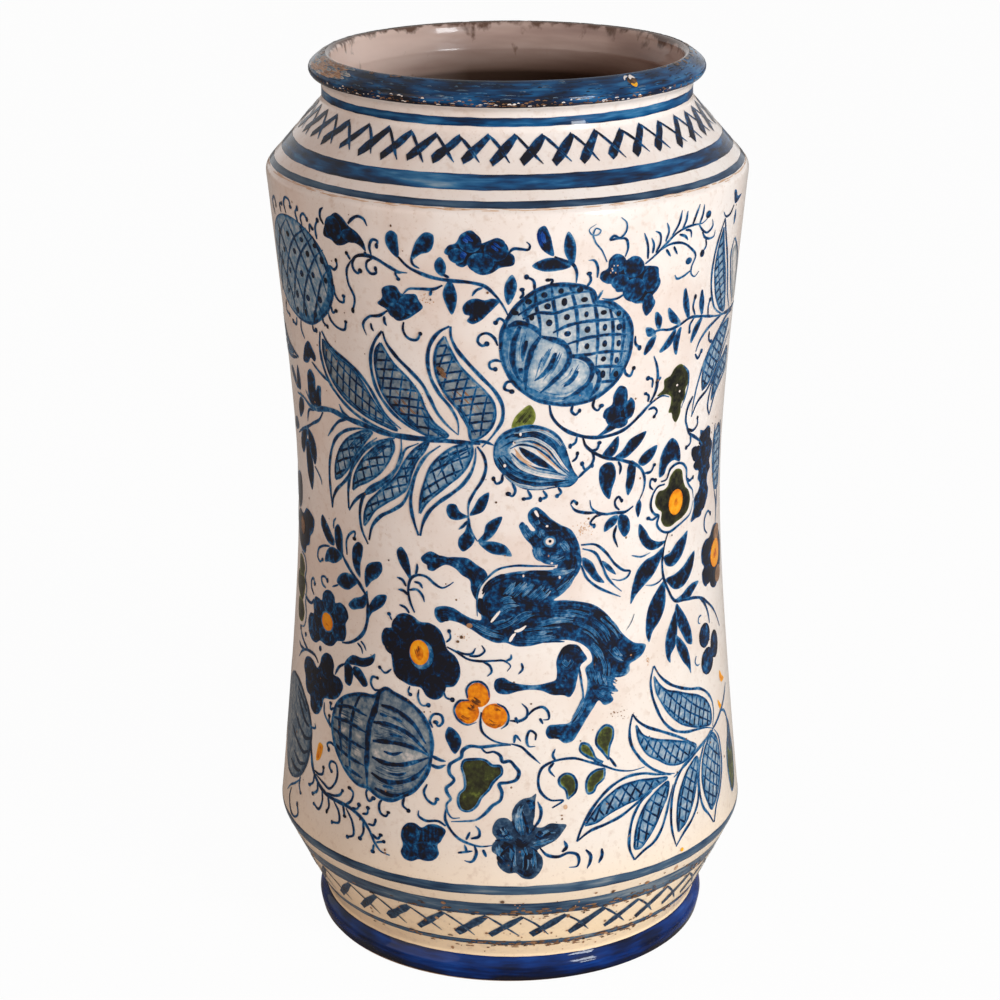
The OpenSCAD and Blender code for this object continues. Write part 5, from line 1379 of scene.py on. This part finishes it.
def low_leaves(s):
    """Green leaves, a blue flower and a dark flower in the middle above the heel."""
    s.fill("-19.5 95.8, -20.7 93, -19.5 89.5, -17.3 86.8, -16 88.5, -15.3 91.5, -16.5 94", 0.85)
    s.edged("-15.3 82.5, -14.5 84.8, -12 85.5, -7.5 85.3, -5.5 83.7, -3 83.5, -2.5 81, -4 79.3,"
            "-5.3 77.8, -6.5 75.5, -9 72.5, -10.5 69.5, -13 67.7, -15 68, -16.2 70.5, -15.8 73.5,"
            "-14.3 75.3, -14.3 79", 0.7, GREEN)
    s.lines("0.3 90.7, -4 90.5, -9 89.8, -13 89.7, -15 88, -15.3 86, -17 84.7, -19 83, -19 80, -17.5 78,"
            "-18.5 76.5, -20 75, -19.5 73, -18.5 71.5, -19.8 69.5, -19.5 67, -18 65, -15.5 65.3;"
            "-9 89.5, -7.5 88, -5 88.3, -3 87, -2.3 85, 0 85.2, 1.5 83.5, 2.8 81.5, 2 79, -0.5 78,"
            "-3.3 77.5, -2.5 74.5, -3 72, -5.5 70, -7.5 67.5, -10.5 65, -14 64.3, -18.3 63.7", 1.1, 0.66)
    s.lines("-20 68, -20.2 64.5, -18.5 61, -16 58.3, -12.5 56.7, -9 56, -5.5 56.5; -20 62, -22 63.2,"
            "-27 63, -29 64.3, -28.9 66; -13.5 58, -12.3 60.8; -12 58.5, -9.5 59.5, -9.5 61.5, -10.7 63;"
            "-11 56.5, -10.3 53.5, -12 50.5, -14 50.8; -8.3 55, -7.3 52.5; -16 53.3, -11.5 54.3;"
            "-13.3 54, -14 56.3", 0.9, 0.72)
    s.fill("-34.8 56, -34.3 59, -32.5 61, -29.8 61.3, -28 60.3, -25.5 61.8, -22.5 62, -20 60.5,"
           "-21 57.5, -22.5 55, -22 52, -24 49.5, -26.5 49, -28.5 49.2, -31 48, -33.5 48.5, -34.7 50.5,"
           "-34 53", 0.88)
    s.petals("-31.4 57.2 3 3.6; -24.6 58 3.6 3.2; -26.6 52.6 3.6 3; -31.4 51.4 2.6 2.8", 0.82)
    s.fill("0.5 67.5, 1.8 70.6, 4 72.4, 6.6 73, 8 74, 7.8 71.6, 7.6 67, 7.4 63, 9.4 62.4, 12.5 63.6,"
           "15 63.2, 17.4 62.6, 16.2 60.4, 14 57.8, 10.5 56, 8.2 54.6, 9.6 52.4, 9.8 49.4, 8.6 46.8,"
           "6.4 45, 3.6 45.4, 1.6 47.2, -0.4 47, -2.8 48.4, -4 50.8, -3.6 52.6, -5.6 54.6, -5.4 57,"
           "-4.2 58.6, -5.4 60.6, -5.2 63.4, -3.4 65.8, -0.8 65.8, 0.4 64.8", 0.76, SLATE, rim=-0.14)
    s.hairs("5.6 60, 4 64, 3.4 69, 5 71.6; 3.4 60, 2.6 65, 3 70; 7.6 58.6, 11 61, 15 61; 7 57, 11 58,"
            "14.6 59; 1 58, -2 61, -3 64; -3.6 57, -3 53, -1.4 50; 0.6 57, 0.6 52, 1.6 48.6; 3.6 56,"
            "4.6 51, 4 47.4; 6.6 55, 7.2 51, 7.4 47.6", 6, 0.9, 0.45, 0.52, 1.6)
    s.hairs("4.4 71, 6.4 71.4, 6.8 67; -4.4 61.4, -2.6 60, 0 61; -3.4 54, -2 51, 0.4 50; 2.6 48.6, 5 47,"
            "7.6 48; 5 53, 7.4 51.6; 8 60.4, 9.6 59.4; 1.6 58.4, 3.6 57, 5.6 58.6; -2.4 57, 0 55.4,"
            "1.4 53", 8, 1.0, 0.8, 0.98, 1.8)
    s.lines("0.8 65, 1.6 62, 3 60; 7.4 62.4, 6.4 61, 5.6 60; -4.6 58.2, -2 58.6, 0.6 58.4; 0.2 47.6,"
            "0.6 51, 1.2 54; 8.2 54.2, 7 55.4, 6 56", 0.6, 0.9)
    s.lines("7.3 62.5, 9 65, 9.5 68.5, 8.5 71.3; 9 55.5, 11 53, 14.5 52, 18 53, 20.5 52, 21 49.5,"
            "20.5 48.2, 17.8 48; 15.8 53.5, 17.2 55, 16.5 57.3; 23.3 53.3, 24.8 51, 24.5 48.8,"
            "23.5 46.8; 28.5 52.8, 28.5 50.5, 27.3 48", 1.0, 0.74)
    s.lines("3.6 68, 5 63.6, 5.4 60; -2.6 63, 0 60; -3 53, 0 56.6; 4.6 48.4, 4.6 54; 12.4 60.4, 8.6 58.4",
            1.0, 0.98, level=2)
    s.lines("0.5 91, 3.5 90, 6 87.5, 9.5 84; 13 68.8, 16.5 71, 12.5 71.5, 9.5 74.5, 8.8 79, 10 82.5,"
            "13 84.3, 17 85, 20.5 84.8, 25 83, 30 80.8, 35 78.3, 40 77, 45 77; 30 81, 26.5 83.5;"
            "34.5 79.6, 32 83.5; 1.3 91.3, 1.8 93.8, 3.5 91.8; 8 92, 8.2 94, 6.5 95.3, 5.3 92.5, 6 90,"
            "8 90; 14.3 84.8, 13.5 86.5, 14.3 88.7; 13.8 84, 12.3 82, 14 79.2", 0.85, 0.7)
    for leaf in ("18 71.3, 20.5 73.5, 20.8 77, 19.5 79.3, 17.5 80, 15.3 78.3, 15.5 76.5, 17.3 74.5",
                 "30.5 79.8, 27.5 79.7, 25 78, 24 75, 24.8 72.2, 26.3 72.5, 27.5 74.5, 30 76.5",
                 "30 82, 27 83.5, 24.5 85, 22.3 87.5, 23 89.5, 24.8 89, 26.5 86.5, 27.6 83.8",
                 "32 82.5, 30 85.5, 27.8 89, 28.8 92.5, 31.5 94.3, 33.7 93, 33.8 90, 32.5 87, 32 84"):
        s.edged(leaf, 0.46, GREEN, rim=-0.34)
    s.dots("17.2 68.7", 0.8, 0.0, 4, CLAY)
    s.dots("58.6 43.8", 0.8, 0.2, 4, ORANGE)


def willow(s):
    """The branch of long leaves right of the goat, with flowers above it and berries at its end."""
    s.fill("53 165, 54.5 168.3, 57.5 168.5, 59 169.3, 60 172, 63 174, 66.3 172.8, 67.3 169.5, 68.5 167,"
           "71 164.5, 72 161.5, 71 158.5, 67.5 156.5, 64 155.8, 60.5 155, 57.5 156, 56 158.5, 56.2 161,"
           "54.5 162.3", 0.72, GREEN)
    s.lines("57.5 170.2, 54 170, 51.5 167, 51.2 163.5, 53 161, 54.8 160.2, 54 157.5, 56 154.8, 60 153.3,"
            "64 154, 68 155, 72 156.4, 74.2 160.4; 55.5 171.5, 58 171.6, 60 174.8, 63 175.8, 66.5 175,"
            "69 172.5, 69.5 169, 71 166.5, 73.5 164, 74.2 161", 0.95, 0.68)
    s.oval(63.5, 162.7, 3.8, 4.3, 0.3, ORANGE, 3)
    s.oval(63.6, 162.4, 1.2, 1.5, 0.7, ORANGE, 4, -0.3)
    s.fill("60 185.3, 57 183.5, 55 180.5, 54.3 176.5, 54.8 173, 56.8 173.5, 58.5 176.4, 61 177.4,"
           "65 176.4, 65 179, 63.5 182.5, 61.5 184.6", 0.76)
    s.fill("77 183.5, 80 182.8, 83.5 183.5, 86 181.5, 86 179, 88.5 176.5, 88 172.5, 86.5 171, 87.5 168,"
           "85.5 166.5, 85 163.5, 86.5 161, 85 157.5, 82 156.5, 80 153.5, 76 153.5, 72.8 153.2,"
           "74.5 157.5, 75 161, 77.5 162.5, 79 164.5, 77 167, 77.5 169.5, 75 170.5, 73.5 172.5, 75 174,"
           "72 176, 71.8 178.5, 74 179, 77 178, 78.5 180, 77.5 181.5", 0.93)
    s.petals("80.4 180 4 2.6; 75.6 176 3.2 2.6; 83 174 4.4 4.6; 81.6 166 3.2 3.8; 80.6 158.6 4.2 3.8", 0.94)
    s.frond("91 182, 90 172, 91.5 164, 94 157; 99 181, 101 170, 100 158",
            "92 179, 96 180.5, 99 176, 100 166, 98 158, 94.6 158.6, 92.6 164, 91.6 172", (5, 95), 3.2)
    s.fill("80 138, 80.5 141.5, 84 143.7, 88 143.5, 92 146, 97 145.5, 101 142, 104 137, 102 130, 97 126,"
           "92 124.5, 87.5 126.5, 86 129, 83 127.7, 80.5 130, 80.3 133.5, 82 135, 80.5 136.5", 0.9)
    s.petals("85 139.6 4.2 3.4; 95 141.4 4.8 3.6; 85 131.4 3.8 3.4; 94 128.6 4.8 3.4", 0.94)
    for z in (142.4, 127.8):
        s.oval(96.8, z, 4.2, 2.8, 0.5, CLAY, 2.6, -0.1)
    s.lines("94 157.6, 96.4 152, 95.6 146; 97.6 157.6, 97.4 153, 95.8 148", 0.9, 0.7)
    s.oval(94, 136, 5.8, 4.7, 0.34, ORANGE, 3)
    s.oval(94, 135.8, 2.4, 1.8, 0.7, ORANGE, 4, -0.3)
    s.curls("85.5 145.5, 83 148, 83.5 151.5, 86.5 153, 89 151.4; 69.7 169.3, 71 168, 73.5 168.5;"
            "52 169.5, 50.5 171, 51 173.3, 52.8 172.6; 54.8 160.3, 51.5 159.5, 50 160.3")
    s.lines("59.5 153.3, 57.5 149, 56.5 144, 57 138.5, 59 134, 62 129.5, 68 128, 74 126.8, 79 125,"
            "83.5 122, 88 118.5, 92 114, 95 109.5; 77 126, 81 122.5, 83.5 118, 84.3 114.5", 1.05, 0.74)
    s.fills("46.2 159.2, 45.8 156, 47.5 152, 51 149.3, 55 149.2, 58.7 150.8, 55 151.3, 51.5 153,"
            "49 156.5; 57.5 149, 53 147.3, 49 146.5, 45.5 144, 43.5 140, 42.3 135, 42.2 133, 44.5 135.5,"
            "48 138, 52 140.5, 55.5 144.5; 57.3 137.3, 53 134.5, 49.8 130.5, 48.3 125, 48.5 120,"
            "49.3 118.5, 51 121.5, 54.5 124.5, 57.3 129, 57.8 133.5; 57.3 145.5, 60.5 146.2, 64 148.7,"
            "67.5 150, 70.5 151, 69.5 147, 66 142.8, 61.5 141.2, 58.3 142.5; 58 137.5, 63 138.3,"
            "68 139.8, 72 142, 75 142.8, 74 138.5, 71 134.8, 66.5 132.7, 62 133.3, 59.5 135.5; 62 129.3,"
            "66 130.2, 70 131.8, 73.5 132.3, 77.3 131.5, 74 129.5, 69.5 127.5, 65.5 128.2; 63 128,"
            "66 125, 69 120.5, 71 115.5, 70.7 111.7, 68.5 112.5, 65.5 116.5, 63 121, 62 125; 62.5 126,"
            "59.5 122.5, 57 118, 56.5 114, 57.5 110, 58.5 109, 59 111.5, 61.5 114, 63 119; 62 117.5,"
            "62.3 112.5, 65 107.5, 68.3 103.5, 69 102, 69.3 106, 68 111, 65.5 114.5", 0.8)
    s.oval(79.8, 111.7, 4.2, 4.2, 0.82)
    s.oval(80.8, 102.4, 4.8, 4.6, 0.82)
    s.oval(87.6, 106, 3.6, 4.8, 0.82)
    s.lines("78 119.5, 76 119, 75.7 117.5, 77 116.7; 73 106.8, 72 105, 73 103.5, 75 103.3; 57 139,"
            "55 137.8, 52 137.3, 48.5 138; 43 149.2, 47 148, 51 148.5", 0.6, 0.55)


def low_frond(s):
    """The large feathered leaf low on the right: six lobes on a slanting stem."""
    s.frond("51 110, 53 106.5, 57 102.5, 62 99.5, 68 97, 74 95, 79 91.5, 82 87.5, 82.6 83, 81 79;"
            "50.8 110, 49.3 105.5, 49.5 101, 51 96, 54 90, 58 86, 64 83.3, 70 82, 76 80.5, 80.5 78.5",
            "50.8 106.5, 53 103, 56 100.4, 61 98.2, 67 95.5, 73 92.8, 78 89, 80.6 84.5, 80 80.8,"
            "75 81.5, 68 83.8, 62 87, 57.5 91, 54 96, 51.5 101", (70, 140), **THIN_FROND)
    s.frond("41.3 96, 43 93.5, 46.5 90.5, 52 87.5, 58 84.2, 63 81.2, 69.8 76; 41.2 95.5, 40 91, 40.3 86,"
            "43 81, 47.5 76, 53 72.5, 57.5 71",
            "42.5 91.8, 45 88, 49.5 85.3, 55 83.3, 61 81, 66 79, 69.3 76.5, 66 74.5, 60 73.5, 55 75,"
            "50.5 78, 46.5 81, 43.5 86", (60, 130), **THIN_FROND)
    s.frond("20.5 56.5, 22 60.5, 24.5 65, 28 69.5, 33 73.5, 38.5 75.3, 44 75, 50 73, 56 71; 20.5 56.5,"
            "25 59.5, 30 60.8, 35.5 62.5, 41 65.3, 47 68.3, 53 70",
            "23.3 61.5, 27 66.5, 31 70, 36 72.5, 42 73, 48 72, 54 70.6, 48 69, 43 67, 37 66, 31 64,"
            "27 62", (60, 130), **THIN_FROND)
    s.frond("39.5 46.3, 38 50.5, 38.3 56, 40 61.5, 43 65.5, 47.5 68; 39.5 46.3, 43 48.5, 47 50.3,"
            "50.5 54, 52.5 58, 54.5 63, 56.5 67.5",
            "39.8 50, 40.3 55, 42 60, 45 64.3, 49.5 67.5, 54.5 69, 54 65.5, 51 60.5, 48 56, 44.5 52,"
            "41.5 49.8", (70, 140), **THIN_FROND)
    s.frond("56 46.5, 54.8 52, 54.8 58, 56 64, 58.5 69, 63 72.8, 69 75, 75 76.5, 80 78; 56 45.8,"
            "60 49.3, 64.5 52.5, 68 57, 69 62, 69.3 67, 70.5 72",
            "57.5 50.5, 57.3 55, 58.3 61, 60.5 66, 64.5 70.5, 69.4 72.6, 69.6 70, 68.6 66, 67.1 61.5,"
            "64.5 56.5, 60.5 52", (70, 140), **THIN_FROND)
    s.frond("76.5 46.3, 74.5 49.5, 71 54, 69.5 60, 69.8 66.5, 71.5 71.5, 75 76, 79.5 78.3; 77 46,"
            "79 50.5, 83 55.5, 86 62, 86.3 69, 85 74, 82 77.5",
            "76.2 51, 72.8 57, 71.5 63, 72.4 69.5, 75.3 74.5, 79.8 77, 83 74.5, 84.8 69, 84.4 62,"
            "82 56.5, 79 53", (70, 140), **THIN_FROND)
    s.lines("81 77.8, 69 74.5, 57 69.8; 80.5 78, 84 79, 88.5 81, 93 83.4, 98 88; 97 69.6, 96 75,"
            "92.6 80, 89 81.4", 1.15, 0.64)
    s.fills("91 95, 93.5 92.5, 96 90.5, 92.5 90.3, 90.5 92.5; 87 86, 89 84.4, 91 81.8, 88.4 82.4", 0.45,
            pigment=ORANGE)
    s.edged("97 72, 100.4 66, 101.6 58, 98.4 49.6, 95.8 49, 93.4 54, 92.2 61, 93.6 67.6", 0.6, GREEN)
    s.fill("97 75, 99.6 70, 99.8 65, 97 63, 94.4 66, 95 71", 0.8, SLATE, 2, -0.2)


# Brown stains: the middle, the width and height, how many dots, and how dark the palest of them is
STAINS = ((-15.4, 126.4, 2.6, 1.6, 16, 0.02), (25, 160.8, 4.5, 2.6, 60, 0.0),
          (48.4, 112.8, 0.9, 2.2, 16, 0.0), (-25.6, 237, 3.4, 2.4, 30, 0.05),
          (-29, 203, 5, 6, 36, 0.1), (38, 96, 8, 3, 12, 0.4))


def fired_marks(s):
    """Stains and specks that the firing and the years left between the motifs."""
    s.dots("-13 130.2", 0.8, 0.3, 6, CLAY)
    s.dots("-15.6 126.2, -16.8 124.6", 0.55, 0.9, 5, CLAY)
    s.dots("33.4 97.8, 34.6 97.9, 35.8 97.7, 37 97.8, 38.2 98", 0.22, 0.5, 3, CLAY)
    s.line("43.6 129.4, 42.2 126.8, 40.2 124.6", 0.35, 0.4, SLATE)
    for x, z, wide, high, count, ink in STAINS:
        for _ in range(count):
            s.dots(f"{dice.gauss(x, wide / 2)} {dice.gauss(z, high / 2)}", dice.uniform(0.1, 0.24),
                   ink + dice.uniform(0, 0.12), 0, CLAY)
    for _ in range(90):
        s.dots(f"{dice.uniform(-95, 95)} {dice.uniform(46, 262)}", dice.uniform(0.16, 0.4),
               dice.uniform(0.3, 1.0), 5, CLAY)


# Every motif with the middle of its place, at the front and again, mirrored and further apart, at the back
MOTIFS = ((left_pomegranate, -80), (top_left_sprays, -28), (great_pomegranate, 19), (top_right_sprays, 46),
          (right_fronds, 78), (arc_stem, 36), (striped_bud, 8), (left_frond, -38), (left_edge, -88),
          (left_sprig, -66), (goat, 8), (rosette, -22), (low_pomegranate, -52), (low_leaves, 0),
          (willow, 68), (low_frond, 60), (fired_marks, 0))
BACK_SPREAD = 1.17

for draw, middle in MOTIFS:
    back = HALF_TURN - middle * (BACK_SPREAD - 1)
    for sheet in (Sheet(draw.__name__), Sheet(draw.__name__ + "_back", mirror=True, shift=back)):
        draw(sheet)
        sheet.done()


# Stage, camera and light

FLOOR_SIZE = 12
FLOOR_COLOUR = (0.8, 0.77, 0.73, 1)
FLOOR_ROUGHNESS = 0.9

# How much of the floor the camera sees as plain white; the rest takes the jar's shadow
FLOOR_WHITE = 0.97
AMBIENT = (0.22, 0.205, 0.197)
WHITE = (1, 1, 1)
COOL = (0.91, 0.96, 1.0)
WARM = (1.0, 0.8, 0.71)


def floor():
    """A floor that looks white but keeps the jar's faint shadow."""
    bpy.ops.mesh.primitive_plane_add(size=FLOOR_SIZE)
    plane = bpy.context.object
    plane.name = "floor"
    material, tree, shader, _ = material_of("pale_floor")
    shader.inputs["Base Color"].default_value = FLOOR_COLOUR
    shader.inputs["Roughness"].default_value = FLOOR_ROUGHNESS
    white = node_of(tree, "ShaderNodeEmission", Strength=1.0)
    seen = node_of(tree, "ShaderNodeLightPath").outputs["Is Camera Ray"]
    share = math_of(tree, "MULTIPLY", seen, FLOOR_WHITE)
    mix = node_of(tree, "ShaderNodeMixShader", _0=share, _1=shader.outputs[0], _2=white.outputs[0])
    tree.links.new(mix.outputs[0], tree.nodes["Material Output"].inputs["Surface"])
    plane.data.materials.append(material)


def world():
    """A white background that lights the jar only softly."""
    made = bpy.data.worlds.new("studio")
    bpy.context.scene.world = made
    made.use_nodes = True
    tree = made.node_tree
    path = node_of(tree, "ShaderNodeLightPath")
    seen = math_of(tree, "MAXIMUM", path.outputs["Is Camera Ray"], path.outputs["Is Transmission Ray"])
    mirrored = math_of(tree, "MAXIMUM", seen, path.outputs["Is Glossy Ray"])
    background = tree.nodes["Background"]
    tree.links.new(mixed(tree, mirrored, AMBIENT, WHITE), background.inputs["Color"])


def lamp(name, place, aim, size, watts, colour):
    """A square lamp that faces a point."""
    data = bpy.data.lights.new(name, "AREA")
    data.size = size
    data.energy = watts
    data.color = colour
    made = bpy.data.objects.new(name, data)
    made.location = place
    made.rotation_euler = (Vector(aim) - Vector(place)).to_track_quat("-Z", "Y").to_euler()
    bpy.context.scene.collection.objects.link(made)


CAMERA_PLACE = Vector((0, -0.88192, 0.45586))
CAMERA_PITCH, CAMERA_YAW, CAMERA_ROLL = (math.radians(a) for a in (19.2809, -0.1982, 0.2857))
LENS, SENSOR = 99.153, 36.0


def camera():
    pitch, yaw, roll = CAMERA_PITCH, CAMERA_YAW, CAMERA_ROLL
    level = Vector((math.cos(yaw), -math.sin(yaw), 0))
    ahead = Vector((math.sin(yaw) * math.cos(pitch), math.cos(yaw) * math.cos(pitch), -math.sin(pitch)))
    above = level.cross(ahead)
    right = math.cos(roll) * level - math.sin(roll) * above
    up = math.sin(roll) * level + math.cos(roll) * above
    data = bpy.data.cameras.new("camera")
    data.lens = LENS
    data.sensor_width = SENSOR
    made = bpy.data.objects.new("camera", data)
    turned = Matrix((right, up, -ahead)).transposed().to_4x4()
    made.matrix_world = Matrix.Translation(CAMERA_PLACE) @ turned
    bpy.context.scene.collection.objects.link(made)
    bpy.context.scene.camera = made


floor()
world()
camera()
lamp("key", (0.97, -1.05, 0.68), (0, 0, 0.16), 0.36, 14.4, COOL)
lamp("glint", (0.97, -1.05, 0.13), (0, 0, 0.2), 0.22, 5.2, COOL)
lamp("fill", (-1.3, -0.9, 0.7), (0, 0, 0.15), 1.2, 6.6, WARM)
bpy.context.scene.view_settings.view_transform = "Standard"
